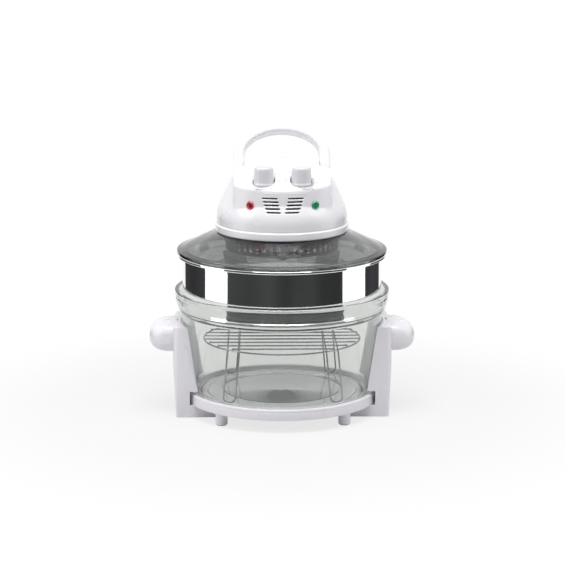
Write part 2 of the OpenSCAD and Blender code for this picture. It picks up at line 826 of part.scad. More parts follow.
module head_shell() {
    color("whitesmoke") difference() {
        union() {
            difference() {
                head_form(0);
                head_form(head_wall);
            }
            intersection() {
                head_form(0);
                union() {
                    knob_places() translate([0, 0, well_floor_z - well_t])
                        cylinder(h = 60, r = knob_r + well_gap + 2);
                    head_screw_places() translate([0, 0, shell_z]) cylinder(h = 18, r = 5.5, $fn = 48);
                    for (side = [-1, 1]) translate([side * boss_in_x, 0, pivot_z])
                        rotate([0, side * 90, 0]) cylinder(h = core_half_w - boss_in_x, r = boss_r);
                }
            }
        }
        knob_places() {
            translate([0, 0, well_floor_z]) cylinder(h = 60, r = knob_r + well_gap);
            translate([0, 0, well_floor_z - 10]) cylinder(h = 20, r = bush_r + screw_gap);
        }
        vent_slots();
        for (side = [-1, 1]) lamp_place(side) {
            translate([0, 0, -12]) cylinder(h = 20, r = lamp_r - 1);
            translate([0, 0, 0.25]) cylinder(h = 8, r = lamp_r + 0.3);
        }
        head_screw_places() translate([0, 0, shell_z - past]) cylinder(h = 16, r = screw_r + screw_gap, $fn = 24);
        translate([-dome_r, 0, pivot_z]) rotate([0, 90, 0]) cylinder(h = 2 * dome_r, r = pin_r + run_gap);
        inlet_hole();
    }
}

module head_screws() {
    color("silver") head_screw_places() translate([0, 0, base_z + 8]) screw(18);
}

// Scale plates follow the sloping panel round each knob
module dial_plates() {
    plate_t = 0.6;
    color("gainsboro") intersection() {
        difference() {
            knob_places() translate([0, 0, well_floor_z]) cylinder(h = 50, r = knob_r + 5);
            knob_places() translate([0, 0, well_floor_z - 1]) cylinder(h = 52, r = knob_r + well_gap + 0.8);
        }
        difference() {
            panel_cone(lens_r - lens_front, panel_slope, -plate_t);
            panel_cone(lens_r - lens_front, panel_slope, 0);
        }
    }
}

module lamp_window(side) {
    lamp_place(side) lathe([
        [0, -8], [lamp_r - 1.1, -8], [lamp_r - 1.1, 0.3], [lamp_r, 0.3], [lamp_r, 1], [lamp_r - 1, 1.8],
        [lamp_r - 3, 2.5], [0, 2.8]
    ]);
}

module red_lamp() { color("red") lamp_window(-1); }
module green_lamp() { color("green") lamp_window(1); }

module lamp_bulbs() {
    color("orange") for (side = [-1, 1]) lamp_place(side) translate([0, 0, -13]) cylinder(h = 5, r = 2.5);
}

// ---------------------------------------------------------------- mains inlet

socket_w = 24.2;
socket_h = 16.6;
socket_depth = 16;
inlet_body_w = 28;
inlet_body_h = 20.4;
inlet_flange_t = 2;
inlet_screw_x = 19;

module inlet_hole() {
    translate([-inlet_body_w / 2 - 0.1, dome_r - 30, inlet_z - inlet_body_h / 2 - 0.1])
        cube([inlet_body_w + 0.2, 40, inlet_body_h + 0.2]);
    for (x = [-1, 1]) translate([x * inlet_screw_x, inlet_face_y - 10, inlet_z]) rotate([-90, 0, 0])
        cylinder(h = 20, r = screw_r + screw_gap, $fn = 24);
}

// Socket outline with its two cut corners
module socket_outline() {
    w = socket_w / 2;
    h = socket_h / 2;
    cut = 4;
    polygon([[-w, -h], [w, -h], [w, h - cut], [w - cut, h], [-w + cut, h], [-w, h - cut]]);
}

module inlet_socket() {
    face_y = inlet_face_y + inlet_flange_t;
    color("dimgray") difference() {
        union() {
            translate([0, face_y, inlet_z]) rotate([90, 0, 0]) linear_extrude(inlet_flange_t)
                round_rect(inlet_pad_w - 2, inlet_pad_h - 5, 4);
            translate([-inlet_body_w / 2, face_y - 21, inlet_z - inlet_body_h / 2])
                cube([inlet_body_w, 21, inlet_body_h]);
        }
        translate([0, face_y + past, inlet_z]) rotate([90, 0, 0])
            linear_extrude(socket_depth + past) socket_outline();
        pin_places() cube([2.1, 60, 4.1], center = true);
        for (x = [-1, 1]) translate([x * inlet_screw_x, face_y - 10, inlet_z]) rotate([-90, 0, 0])
            cylinder(h = 20, r = screw_r + screw_gap, $fn = 24);
    }
}

module pin_places() {
    for (place = [[-7, -2], [7, -2], [0, 2]])
        translate([place[0], inlet_face_y - 12, inlet_z + place[1]]) children();
}

module inlet_pins() {
    color("silver") pin_places() cube([2, 18, 4], center = true);
}

module inlet_screws() {
    color("silver") for (x = [-1, 1])
        translate([x * inlet_screw_x, inlet_face_y + inlet_flange_t, inlet_z]) rotate([90, 0, 0]) screw(8);
}

// ---------------------------------------------------------------- motor and fans

stator_z = motor_plate_z + 6;
stator_h = 18;
stator_w = 48;
stator_front = -22;
stator_back = 40;
limb_y = 28;
rotor_r = 13;
rotor_gap = 0.4;
bush_h = 6;
bush_out_r = 5;
bridge_z = stator_z + stator_h + 2;
shaft_low_z = pan_z + 2;
shaft_top_z = bridge_z + 5;
plate_t = 1.5;

module motor_pad_places() {
    for (x = [-1, 1], y = [stator_front + 5, limb_y + 7]) translate([x * (stator_w / 2 - 5), y, 0]) children();
}

module motor_plate() {
    color("silver") translate([0, 0, motor_plate_z]) difference() {
        union() {
            linear_extrude(plate_t) {
                round_rect(2 * motor_post_x + 14, 24, 6);
                translate([-stator_w / 2, stator_front]) square([stator_w, stator_back - stator_front]);
            }
            motor_pad_places() cylinder(h = stator_z - motor_plate_z, r = 4, $fn = 48);
        }
        translate([0, 0, -past]) cylinder(h = 8, r = bush_out_r);
        for (x = [-1, 1]) translate([x * motor_post_x, 0, -past]) cylinder(h = 8, r = screw_r + screw_gap, $fn = 24);
    }
}

// Two posts stand on the head's floor and carry the motor plate
module motor_posts() {
    z = base_z + base_floor_t;
    color("silver") for (x = [-1, 1]) translate([x * motor_post_x, 0, 0]) {
        translate([0, 0, z]) cylinder(h = motor_plate_z - z, r = 4, $fn = 6);
        translate([0, 0, motor_plate_z]) cylinder(h = plate_t + 2, r = screw_r, $fn = 24);
        translate([0, 0, motor_plate_z + plate_t]) difference() {
            cylinder(h = 2, r = 3.4, $fn = 6);
            translate([0, 0, -past]) cylinder(h = 4, r = screw_r, $fn = 24);
        }
    }
}

module motor_stator() {
    color("darkgray") translate([0, 0, stator_z]) difference() {
        translate([-stator_w / 2, stator_front, 0]) cube([stator_w, stator_back - stator_front, stator_h]);
        translate([0, 0, -past]) cylinder(h = stator_h + 2, r = rotor_r + rotor_gap);
        translate([-16, limb_y - 10, -past]) cube([32, 10, stator_h + 2]);
    }
}

module motor_coil() {
    coil_z = motor_plate_z + plate_t + 0.3;
    coil_h = stator_h + 2 * (stator_z - coil_z);
    color("peru") difference() {
        translate([-13, limb_y - 9, coil_z]) cube([26, stator_back - limb_y + 15, coil_h]);
        translate([-20, limb_y - 0.1, stator_z - 0.1]) cube([40, stator_back - limb_y + 0.2, stator_h + 0.2]);
    }
}

module motor_bridge() {
    color("silver") difference() {
        union() {
            translate([0, 0, bridge_z]) linear_extrude(2) round_rect(stator_w, 18, 4);
            for (x = [-1, 1]) translate([x * (stator_w / 2 - 5), 0, stator_z + stator_h])
                cylinder(h = 3, r = 4, $fn = 48);
        }
        translate([0, 0, bridge_z - past]) cylinder(h = 8, r = bush_out_r);
    }
}

module bush(z) {
    translate([0, 0, z]) difference() {
        cylinder(h = bush_h, r = bush_out_r);
        translate([0, 0, -past]) cylinder(h = bush_h + 2 * past, r = shaft_r + run_gap);
    }
}

module motor_bushes() {
    color("goldenrod") {
        bush(motor_plate_z - 2);
        bush(bridge_z - 1);
    }
}

module motor_rotor() {
    color("gray") translate([0, 0, stator_z + 0.5]) difference() {
        cylinder(h = stator_h - 1, r = rotor_r);
        translate([0, 0, -past]) cylinder(h = stator_h + 2, r = shaft_r);
    }
}

module fan_shaft() {
    color("silver") translate([0, 0, shaft_low_z]) cylinder(h = shaft_top_z - shaft_low_z, r = shaft_r);
}

// A hub with blades round it; each blade is set at an angle to the disc
module bladed_hub(hub_r, hub_h, tip_r, blade_h, count, pitch) {
    difference() {
        union() {
            cylinder(h = hub_h, r = hub_r);
            intersection() {
                cylinder(h = hub_h, r = tip_r);
                for (i = [0 : count - 1]) rotate(i * 360 / count)
                    translate([hub_r - 1, 0, hub_h / 2]) rotate([pitch, 0, 0])
                        translate([0, -0.75, -blade_h / 2]) cube([tip_r - hub_r + 2, 1.5, blade_h]);
            }
        }
        translate([0, 0, -past]) cylinder(h = hub_h + 2 * past, r = shaft_r);
    }
}

cooling_fan_r = motor_post_x - 8;
cooling_fan_z = base_z + 7;

module cooling_fan() {
    color("white") translate([0, 0, cooling_fan_z]) {
        bladed_hub(7, 9, cooling_fan_r, 8, 12, 0);
        difference() {
            translate([0, 0, -1.5]) cylinder(h = 1.5, r = cooling_fan_r);
            translate([0, 0, -3]) cylinder(h = 5, r = shaft_r);
        }
    }
}

convection_fan_r = tube_ring_r - 20;
convection_fan_z = pan_z + 7;

module convection_fan() {
    color("silver") translate([0, 0, convection_fan_z]) bladed_hub(9, 9, convection_fan_r, 14, 8, 55);
}

module fan_nut() {
    color("silver") translate([0, 0, convection_fan_z - 3]) difference() {
        cylinder(h = 3, r = 4.5, $fn = 6);
        translate([0, 0, -past]) cylinder(h = 5, r = shaft_r);
    }
}

// ---------------------------------------------------------------- controls

bush_r = 4.5;
control_h = 26;
control_w = 25;
control_d = 28;
stem_r = 3;
body_top_z = well_floor_z - well_t;
stem_low_z = body_top_z - control_h + 6;
stem_top_z = knob_z + knob_h - 8;
bush_top_z = well_floor_z + 4.5;
nut_t = 2.5;

module control_body(side) {
    translate([side * knob_x, knob_y, 0]) difference() {
        union() {
            translate([0, 2, body_top_z - control_h]) linear_extrude(control_h) round_rect(control_w, control_d, 3);
            translate([0, 0, body_top_z - 1]) cylinder(h = bush_top_z - body_top_z + 1, r = bush_r);
        }
        translate([0, 0, stem_low_z - 0.5]) cylinder(h = 60, r = stem_r + run_gap);
    }
}

module timer_body() { color("gainsboro") control_body(-1); }
module thermostat_body() { color("tan") control_body(1); }

module control_nuts() {
    color("silver") knob_places() translate([0, 0, well_floor_z]) difference() {
        cylinder(h = nut_t, r = 8, $fn = 6);
        translate([0, 0, -past]) cylinder(h = nut_t + 2 * past, r = bush_r);
    }
}

// A knob: tall drum, domed edge, a rib across its top and a pointer down its front
module knob(side) {
    z = knob_z;
    r = knob_r;
    translate([side * knob_x, knob_y, z]) difference() {
        union() {
            lathe([
                [0, knob_h - 4], [r - 2.5, knob_h - 4], [r - 2.5, 0], [r - 0.3, 0], [r, 0.3],
                [r - 0.8, knob_h - 2.5], [r - 2.8, knob_h - 0.5], [0, knob_h - 0.5]
            ]);
            translate([0, 0, 7]) cylinder(h = knob_h - 10, r = 6);
            translate([-1.2, -r + 2, knob_h - 1]) cube([2.4, r - 4, 1]);
        }
        translate([0, 0, past]) cylinder(h = stem_top_z - z - past, r = stem_r);
    }
}

module timer_knob() { color("whitesmoke") knob(-1); }
module thermostat_knob() { color("whitesmoke") knob(1); }

module stem(side) {
    translate([side * knob_x, knob_y, stem_low_z]) cylinder(h = stem_top_z - stem_low_z, r = stem_r);
}

module timer_stem() { color("silver") stem(-1); }
module thermostat_stem() { color("silver") stem(1); }

// ---------------------------------------------------------------- handle

handle_out_x = core_half_w + 0.4 + leg_w;
handle_in_x = core_half_w + 0.4;
arch_rise_in = 0.62 * arch_inner;
arch_rise_out = 0.73 * (arch_inner + arch_t);

// Front view of the handle, its pivots at the origin
module handle_outline() {
    top = arch_inner + arch_t;
    difference() {
        polygon(concat(
            [[-handle_out_x, 0], [handle_out_x, 0]],
            oval(0, top - arch_rise_out, handle_out_x, arch_rise_out, 0, 180, 32)
        ));
        polygon(concat(
            [[-handle_in_x, -past], [handle_in_x, -past]],
            oval(0, arch_inner - arch_rise_in, handle_in_x, arch_rise_in, 0, 180, 32)
        ));
    }
}

// Places something in the handle's own frame: pivots at the origin, upright along Z
module in_handle_frame() {
    translate([0, 0, pivot_z]) rotate([-handle_tilt, 0, 0]) children();
}

module bail_handle() {
    color("white") in_handle_frame() difference() {
        union() {
            translate([0, leg_depth / 2, 0]) rotate([90, 0, 0]) linear_extrude(leg_depth) handle_outline();
            for (side = [-1, 1]) translate([side * handle_in_x, 0, 0])
                rotate([0, side * 90, 0]) cylinder(h = leg_w, r = leg_depth / 2);
        }
        for (side = [-1, 1]) translate([side * (handle_in_x - past), 0, 0])
            rotate([0, side * 90, 0]) cylinder(h = leg_w - 4 + past, r = pin_r);
    }
}

cam_t = 5;
cam_rest_r = 8;
cam_lift = 1.9;
cam_x = boss_in_x - cam_t;

module pivot_pins() {
    color("silver") for (side = [-1, 1]) translate([0, 0, pivot_z]) {
        translate([side * cam_x, 0, 0]) rotate([0, side * 90, 0])
            cylinder(h = handle_out_x - 5 - cam_x, r = pin_r);
        translate([side * cam_x, 0, 0]) rotate([0, -side * 90, 0]) cylinder(h = 1.5, r = pin_r + 2);
    }
}

// Snail-shaped cam on the right pivot: it sinks the plunger evenly as the handle folds back
function cam_point(a) = (cam_rest_r + cam_lift * a * PI / 180) * [sin(a), -cos(a)];

module handle_cam() {
    color("gold") translate([cam_x, 0, pivot_z]) rotate([90, 0, 90]) linear_extrude(cam_t - 0.3) difference() {
        polygon(concat(
            [for (a = [-45 : 5 : 90]) cam_point(a)],
            [for (a = [110 : 15 : 290]) 7 * [sin(a), -cos(a)]]
        ));
        circle(r = pin_r);
    }
}

// ---------------------------------------------------------------- safety switch

plunger_r = 2;
plunger_tip_r = 1.2;
plunger_x = cam_x + cam_t / 2;
plunger_top_z = pivot_z - cam_rest_r - 0.25;
switch_top_z = plunger_top_z - 3.2;
switch_h = 16;
switch_w = core_half_w - head_wall - 0.4 - cam_x;

module safety_switch() {
    color("dimgray") difference() {
        translate([cam_x, -25, switch_top_z - switch_h]) cube([switch_w, 28, switch_h]);
        translate([plunger_x, 0, switch_top_z - 11]) cylinder(h = 20, r = plunger_r + run_gap, $fn = 32);
    }
}

module switch_plunger() {
    color("red") translate([plunger_x, 0, 0]) {
        translate([0, 0, switch_top_z - 8]) cylinder(h = plunger_top_z - switch_top_z + 6, r = plunger_r, $fn = 32);
        translate([0, 0, plunger_top_z - 3]) cylinder(h = 3, r = plunger_tip_r, $fn = 32);
    }
}

base_tray();
tray_feet();
foot_pads();
left_arm();
right_arm();
left_arm_cover();
right_arm_cover();
left_grip();
right_grip();
arm_screws();
glass_bowl();
rack_ring();
rack_bars();
rack_rails();
rack_legs();
extension_ring();
ring_flange();
glass_lid();
upper_gasket();
lower_gasket();
insulation_disc();
heater_pan();
clamp_screws();
halogen_tube();
tube_holders();
guard_grille();
guard_clips();
head_base();
head_shell();
head_screws();
dial_plates();
red_lamp();
green_lamp();
lamp_bulbs();
motor_plate();
motor_posts();
motor_stator();
motor_coil();
motor_bridge();
motor_bushes();
motor_rotor();
fan_shaft();
cooling_fan();
convection_fan();
fan_nut();
timer_body();
thermostat_body();
control_nuts();
timer_knob();
thermostat_knob();
timer_stem();
thermostat_stem();
inlet_socket();
inlet_pins();
inlet_screws();
safety_switch();
switch_plunger();
bail_handle();
pivot_pins();
handle_cam();
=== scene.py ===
# A countertop halogen oven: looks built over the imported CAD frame.
# Lengths are in mm, and angles in degrees, unless a name or comment says otherwise.
import math
import bmesh
import bpy
from mathutils import Matrix, Vector


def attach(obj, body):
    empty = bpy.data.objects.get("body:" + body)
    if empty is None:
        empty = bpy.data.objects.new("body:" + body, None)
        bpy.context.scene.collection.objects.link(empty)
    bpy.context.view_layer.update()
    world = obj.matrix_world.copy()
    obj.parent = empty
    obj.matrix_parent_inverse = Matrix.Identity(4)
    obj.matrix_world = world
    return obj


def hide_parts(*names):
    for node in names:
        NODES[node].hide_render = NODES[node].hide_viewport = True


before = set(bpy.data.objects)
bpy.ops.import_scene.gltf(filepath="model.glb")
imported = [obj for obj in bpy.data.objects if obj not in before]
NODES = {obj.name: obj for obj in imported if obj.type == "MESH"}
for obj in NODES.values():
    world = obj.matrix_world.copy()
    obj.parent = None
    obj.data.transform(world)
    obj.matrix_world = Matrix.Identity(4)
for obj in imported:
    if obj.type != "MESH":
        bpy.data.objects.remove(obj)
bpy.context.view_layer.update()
scene = bpy.context.scene
MM = 0.001


# ---------------------------------------------------------------- mesh helpers

def polar(cx, cy, r, start, end, steps):
    """Points of an arc."""
    out = []
    for i in range(steps + 1):
        a = math.radians(start + (end - start) * i / steps)
        out.append((cx + r * math.cos(a), cy + r * math.sin(a)))
    return out


def fillet(points, radius, closed=True, steps=4):
    """Rounds the corners of a 2-D outline. A point may carry its own radius as a third number."""
    out = []
    n = len(points)
    for i, p in enumerate(points):
        r = p[2] if len(p) > 2 else radius
        if not closed and i in (0, n - 1) or r <= 0:
            out.append((p[0], p[1]))
            continue
        a = Vector(points[i - 1][:2]) - Vector(p[:2])
        b = Vector(points[(i + 1) % n][:2]) - Vector(p[:2])
        la, lb = a.length, b.length
        if la < 1e-6 or lb < 1e-6:
            continue
        a, b = a / la, b / lb
        ang = math.acos(max(-1, min(1, a.dot(b))))
        if ang > math.radians(176) or ang < math.radians(4):
            out.append((p[0], p[1]))
            continue
        cut = min(r / math.tan(ang / 2), 0.48 * la, 0.48 * lb)
        rr = cut * math.tan(ang / 2)
        mid = (a + b).normalized()
        c = Vector(p[:2]) + mid * (rr / math.sin(ang / 2))
        s = Vector(p[:2]) + a * cut - c
        turn = math.pi - ang
        sign = 1 if a.x * b.y - a.y * b.x < 0 else -1
        for k in range(steps + 1):
            t = sign * turn * k / steps
            out.append((c.x + s.x * math.cos(t) - s.y * math.sin(t),
                        c.y + s.x * math.sin(t) + s.y * math.cos(t)))
    return out


def new_object(name, verts, faces, mat=None, smooth=True, angle=40):
    """A mesh object from points in mm."""
    me = bpy.data.meshes.new(name)
    me.from_pydata([(v[0] * MM, v[1] * MM, v[2] * MM) for v in verts], [], faces)
    me.validate()
    me.update()
    ob = bpy.data.objects.new(name, me)
    scene.collection.objects.link(ob)
    finish_mesh(ob, mat, smooth, angle)
    return ob


def finish_mesh(ob, mat=None, smooth=True, angle=40):
    """Joins double points, turns faces outward, shades smooth below an angle and sets the material."""
    me = ob.data
    bm = bmesh.new()
    bm.from_mesh(me)
    bmesh.ops.remove_doubles(bm, verts=bm.verts, dist=2e-6)
    bmesh.ops.recalc_face_normals(bm, faces=bm.faces)
    bm.to_mesh(me)
    bm.free()
    if smooth:
        me.polygons.foreach_set("use_smooth", [True] * len(me.polygons))
        me.set_sharp_from_angle(angle=math.radians(angle))
    if mat:
        me.materials.clear()
        me.materials.append(mat)


def skin(rings, seg, closed=True):
    """Faces between rings of points. A ring of one point is a pole."""
    faces = []
    for i in range(len(rings) if closed else len(rings) - 1):
        a, b = rings[i], rings[(i + 1) % len(rings)]
        if len(a) == 1 and len(b) == 1:
            continue
        for k in range(seg):
            k2 = (k + 1) % seg
            if len(a) == 1:
                faces.append((a[0], b[k], b[k2]))
            elif len(b) == 1:
                faces.append((a[k], b[0], a[k2]))
            else:
                faces.append((a[k], b[k], b[k2], a[k2]))
    return faces


def turned(outline, seg, centre=(0, 0), closed=True):
    """A solid of revolution about an upright axis, from (r, z) points: its points and faces."""
    verts, rings = [], []
    for r, z in outline:
        if abs(r) < 1e-4:
            rings.append([len(verts)])
            verts.append((*centre, z))
        else:
            rings.append(list(range(len(verts), len(verts) + seg)))
            for k in range(seg):
                a = 2 * math.pi * k / seg
                verts.append((centre[0] + r * math.cos(a), centre[1] + r * math.sin(a), z))
    return verts, skin(rings, seg, closed)


def tube(path, r, sides=14, closed=False, up=None):
    """A round wire along a path: its points and faces."""
    n = len(path)
    path = [Vector(p) for p in path]
    verts, side = [], None
    for i in range(n):
        if closed:
            d = (path[(i + 1) % n] - path[i - 1]).normalized()
        else:
            d = (path[min(i + 1, n - 1)] - path[max(i - 1, 0)]).normalized()
        if side is None:
            ref = Vector(up or ((0, 0, 1) if abs(d.z) < 0.9 else (1, 0, 0)))
            side = (ref - d * ref.dot(d)).normalized()
        else:
            side = (side - d * side.dot(d)).normalized()
        other = d.cross(side)
        for k in range(sides):
            a = 2 * math.pi * k / sides
            verts.append(tuple(path[i] + (side * math.cos(a) + other * math.sin(a)) * r))
    rings = [range(i * sides, (i + 1) * sides) for i in range(n)]
    faces = skin(rings, sides, closed)
    if not closed:
        faces += [tuple(reversed(rings[0])), tuple(rings[-1])]
    return verts, faces


def loft(sections):
    """Sections of equally many points as one skin with flat ends: its points and faces."""
    n = len(sections[0])
    rings = [range(i * n, (i + 1) * n) for i in range(len(sections))]
    faces = skin(rings, n, closed=False) + [tuple(reversed(rings[0])), tuple(rings[-1])]
    return [p for section in sections for p in section], faces


def join(parts):
    """Several (points, faces) pairs as one."""
    verts, faces = [], []
    for v, f in parts:
        o = len(verts)
        verts += v
        faces += [tuple(o + i for i in face) for face in f]
    return verts, faces


def prism(outline, low, high, axis="y"):
    """A 2-D outline drawn out along an axis: its points and faces."""
    n = len(outline)
    put = {"x": lambda p, t: (t, p[0], p[1]), "y": lambda p, t: (p[0], t, p[1]),
           "z": lambda p, t: (p[0], p[1], t)}[axis]
    verts = [put(p, low) for p in outline] + [put(p, high) for p in outline]
    faces = [tuple(range(n)), tuple(reversed(range(n, 2 * n)))]
    faces += [(i, i + n, (i + 1) % n + n, (i + 1) % n) for i in range(n)]
    return verts, faces


def solid(name, parts):
    """An object with sharp edges and no material yet, to be cut or joined."""
    return new_object(name, *parts, smooth=False)


def placed(parts, matrix):
    """Points and faces, moved by a matrix."""
    return [tuple(matrix @ Vector(p)) for p in parts[0]], parts[1]


def boolean(ob, other, how):
    """Applies a boolean to ob. The other solid is points and faces, or an object, which is removed."""
    if isinstance(other, tuple):
        other = solid("cutter", other)
    mod = ob.modifiers.new("cut", "BOOLEAN")
    mod.operation = how
    mod.solver = "MANIFOLD"
    mod.object = other
    apply_all(ob)
    bpy.data.objects.remove(other)


def apply_all(ob):
    """Puts the result of the object's modifiers into its mesh."""
    bpy.context.view_layer.update()
    dg = bpy.context.evaluated_depsgraph_get()
    me = bpy.data.meshes.new_from_object(ob.evaluated_get(dg))
    old = ob.data
    ob.modifiers.clear()
    ob.data = me
    bpy.data.meshes.remove(old)


def soften(ob, width, mat):
    """Merges flat faces, rounds the sharp edges and shades smooth."""
    bm = bmesh.new()
    bm.from_mesh(ob.data)
    bmesh.ops.remove_doubles(bm, verts=bm.verts, dist=5e-6)
    bmesh.ops.dissolve_limit(bm, angle_limit=math.radians(0.6), verts=bm.verts, edges=bm.edges)
    bm.to_mesh(ob.data)
    bm.free()
    mod = ob.modifiers.new("round", "BEVEL")
    mod.width = width * MM
    mod.segments = 3
    mod.limit_method = "ANGLE"
    mod.angle_limit = math.radians(30)
    mod.harden_normals = False
    mod.use_clamp_overlap = True
    apply_all(ob)
    finish_mesh(ob, mat, angle=50)
    mod = ob.modifiers.new("normals", "WEIGHTED_NORMAL")
    mod.keep_sharp = True
    apply_all(ob)


def eased(ob, steps, group=""):
    """Smooths an object's surface, or the part of it in a vertex group."""
    mod = ob.modifiers.new("ease", "SMOOTH")
    mod.factor = 0.5
    mod.iterations = steps
    mod.vertex_group = group
    apply_all(ob)


def remeshed(ob, voxel, mat, steps, rounder, rounder_steps):
    """Rebuilds a solid on a fine even grid and eases its edges, and more so where rounder(x, y, z) says."""
    mod = ob.modifiers.new("grid", "REMESH")
    mod.mode = "VOXEL"
    mod.voxel_size = voxel * MM
    mod.adaptivity = 0.0
    mod.use_smooth_shade = True
    eased(ob, steps)
    group = ob.vertex_groups.new(name="round")
    for v in ob.data.vertices:
        w = rounder(*(c / MM for c in v.co))
        if w > 0:
            group.add([v.index], w, "REPLACE")
    eased(ob, rounder_steps, "round")
    ob.vertex_groups.clear()
    me = ob.data
    me.polygons.foreach_set("use_smooth", [True] * len(me.polygons))
    me.materials.clear()
    me.materials.append(mat)


# ---------------------------------------------------------------- materials

def base_material(name):
    """A material with a Principled shader: the material, its node tree and the shader."""
    mat = bpy.data.materials.new(name)
    mat.use_nodes = True
    nt = mat.node_tree
    nt.nodes.clear()
    out = nt.nodes.new("ShaderNodeOutputMaterial")
    bsdf = nt.nodes.new("ShaderNodeBsdfPrincipled")
    nt.links.new(bsdf.outputs[0], out.inputs[0])
    return mat, nt, bsdf


def noise(nt, scale, detail=2.0, stretch=None):
    """Noise in the object's own space, in metres; scale is features per metre."""
    tc = nt.nodes.new("ShaderNodeTexCoord")
    src = tc.outputs["Object"]
    if stretch:
        mp = nt.nodes.new("ShaderNodeMapping")
        mp.inputs["Scale"].default_value = stretch
        nt.links.new(src, mp.inputs["Vector"])
        src = mp.outputs[0]
    n = nt.nodes.new("ShaderNodeTexNoise")
    n.inputs["Scale"].default_value = scale
    n.inputs["Detail"].default_value = detail
    nt.links.new(src, n.inputs["Vector"])
    return n.outputs["Fac"]


def spread(nt, src, low, high):
    """Noise, stretched to the range from low to high."""
    m = nt.nodes.new("ShaderNodeMapRange")
    m.inputs["From Min"].default_value = 0.3
    m.inputs["From Max"].default_value = 0.7
    m.inputs["To Min"].default_value = low
    m.inputs["To Max"].default_value = high
    nt.links.new(src, m.inputs["Value"])
    return m.outputs[0]


def blend_colour(nt, src, one, two):
    """A colour between two, as src goes from 0 to 1."""
    m = nt.nodes.new("ShaderNodeMix")
    m.data_type = "RGBA"
    m.inputs["A"].default_value = (*one, 1)
    m.inputs["B"].default_value = (*two, 1)
    nt.links.new(src, m.inputs["Factor"])
    return m.outputs["Result"]


def relief(nt, bsdf, src, strength, depth):
    """Fine bumps, their depth in metres."""
    b = nt.nodes.new("ShaderNodeBump")
    b.inputs["Strength"].default_value = strength
    b.inputs["Distance"].default_value = depth
    nt.links.new(src, b.inputs["Height"])
    nt.links.new(b.outputs[0], bsdf.inputs["Normal"])


def cloudy(nt, scale, detail, one, two):
    """Two colours that run into each other in soft clouds."""
    return blend_colour(nt, spread(nt, noise(nt, scale, detail), 0, 1), one, two)


def maths(nt, how, one, two):
    """Two values worked into one."""
    n = nt.nodes.new("ShaderNodeMath")
    n.operation = how
    nt.links.new(one, n.inputs[0])
    nt.links.new(two, n.inputs[1])
    return n.outputs[0]


def mixed(nt, factor, one, two, out):
    """Sends a mix of two shaders to an output node."""
    n = nt.nodes.new("ShaderNodeMixShader")
    for i, src in enumerate((factor, one.outputs[0], two.outputs[0])):
        nt.links.new(src, n.inputs[i])
    nt.links.new(n.outputs[0], out.inputs[0])


def plastic(name, one, two, rough=(0.3, 0.38), coat=0.0, bump=0.06, grain=1400):
    mat, nt, bsdf = base_material(name)
    nt.links.new(cloudy(nt, 22, 3, one, two), bsdf.inputs["Base Color"])
    nt.links.new(spread(nt, noise(nt, 60, 4), *rough), bsdf.inputs["Roughness"])
    relief(nt, bsdf, noise(nt, grain, 2), bump, 0.00004)
    bsdf.inputs["IOR"].default_value = 1.49
    bsdf.inputs["Coat Weight"].default_value = coat
    bsdf.inputs["Coat Roughness"].default_value = 0.12
    return mat


def metal(name, one, two, rough=(0.1, 0.16), grain=260, bump=0.03, stretch=None):
    mat, nt, bsdf = base_material(name)
    nt.links.new(cloudy(nt, 35, 3, one, two), bsdf.inputs["Base Color"])
    nt.links.new(spread(nt, noise(nt, grain, 3, stretch), *rough), bsdf.inputs["Roughness"])
    relief(nt, bsdf, noise(nt, grain * 2, 2, stretch), bump, 0.00003)
    bsdf.inputs["Metallic"].default_value = 1.0
    return mat


def glass(name, tint):
    """Tinted glass that light goes straight through, so that what stands behind it is lit evenly. A dark tint is
    painted shade, standing in for the dark studio that the glass mirrors.
    """
    mat, nt, bsdf = base_material(name)
    nt.links.new(blend_colour(nt, noise(nt, 9, 1), tint, tuple(c * 0.985 for c in tint)),
                 bsdf.inputs["Base Color"])
    bsdf.inputs["Transmission Weight"].default_value = 1.0
    bsdf.inputs["Roughness"].default_value = 0.0
    bsdf.inputs["IOR"].default_value = 1.47
    clear = nt.nodes.new("ShaderNodeBsdfTransparent")
    clear.inputs["Color"].default_value = (0.98, 0.985, 0.98, 1)
    path = nt.nodes.new("ShaderNodeLightPath").outputs
    straight = maths(nt, "MAXIMUM", path["Is Shadow Ray"], path["Is Diffuse Ray"])
    mixed(nt, straight, bsdf, clear, nt.nodes["Material Output"])
    return mat


WHITE = plastic("white_plastic", (0.78, 0.765, 0.80), (0.76, 0.75, 0.785), rough=(0.26, 0.34), coat=0.15)
WHITE_HEAD = plastic("white_head_plastic", (0.80, 0.79, 0.815), (0.785, 0.775, 0.80), rough=(0.2, 0.28),
                     coat=0.25)
WHITE_IN = plastic("white_ribbed_inside", (0.72, 0.72, 0.73), (0.69, 0.69, 0.70), rough=(0.4, 0.5))
KNOB = plastic("knob_plastic", (0.68, 0.67, 0.70), (0.66, 0.65, 0.68), rough=(0.16, 0.22), coat=0.4)
PLATE = plastic("scale_print", (0.80, 0.80, 0.81), (0.78, 0.78, 0.79), rough=(0.3, 0.36))
INK = plastic("grey_ink", (0.035, 0.037, 0.042), (0.05, 0.052, 0.058), rough=(0.4, 0.5))
RUBBER = plastic("dark_rubber", (0.045, 0.046, 0.05), (0.06, 0.06, 0.064), rough=(0.6, 0.72), bump=0.15,
                 grain=900)
GASKET = plastic("grey_silicone", (0.18, 0.185, 0.19), (0.22, 0.225, 0.23), rough=(0.5, 0.6), bump=0.1)
SOCKET = plastic("black_socket", (0.02, 0.02, 0.022), (0.035, 0.035, 0.037), rough=(0.35, 0.45))
MICA = plastic("mica_sheet", (0.62, 0.52, 0.36), (0.5, 0.41, 0.27), rough=(0.35, 0.5), bump=0.25, grain=500)
CERAMIC = plastic("steatite_ceramic", (0.84, 0.81, 0.73), (0.8, 0.76, 0.67), rough=(0.45, 0.55), bump=0.12)
PHENOLIC = plastic("brown_phenolic", (0.22, 0.12, 0.06), (0.17, 0.09, 0.045), rough=(0.3, 0.4))
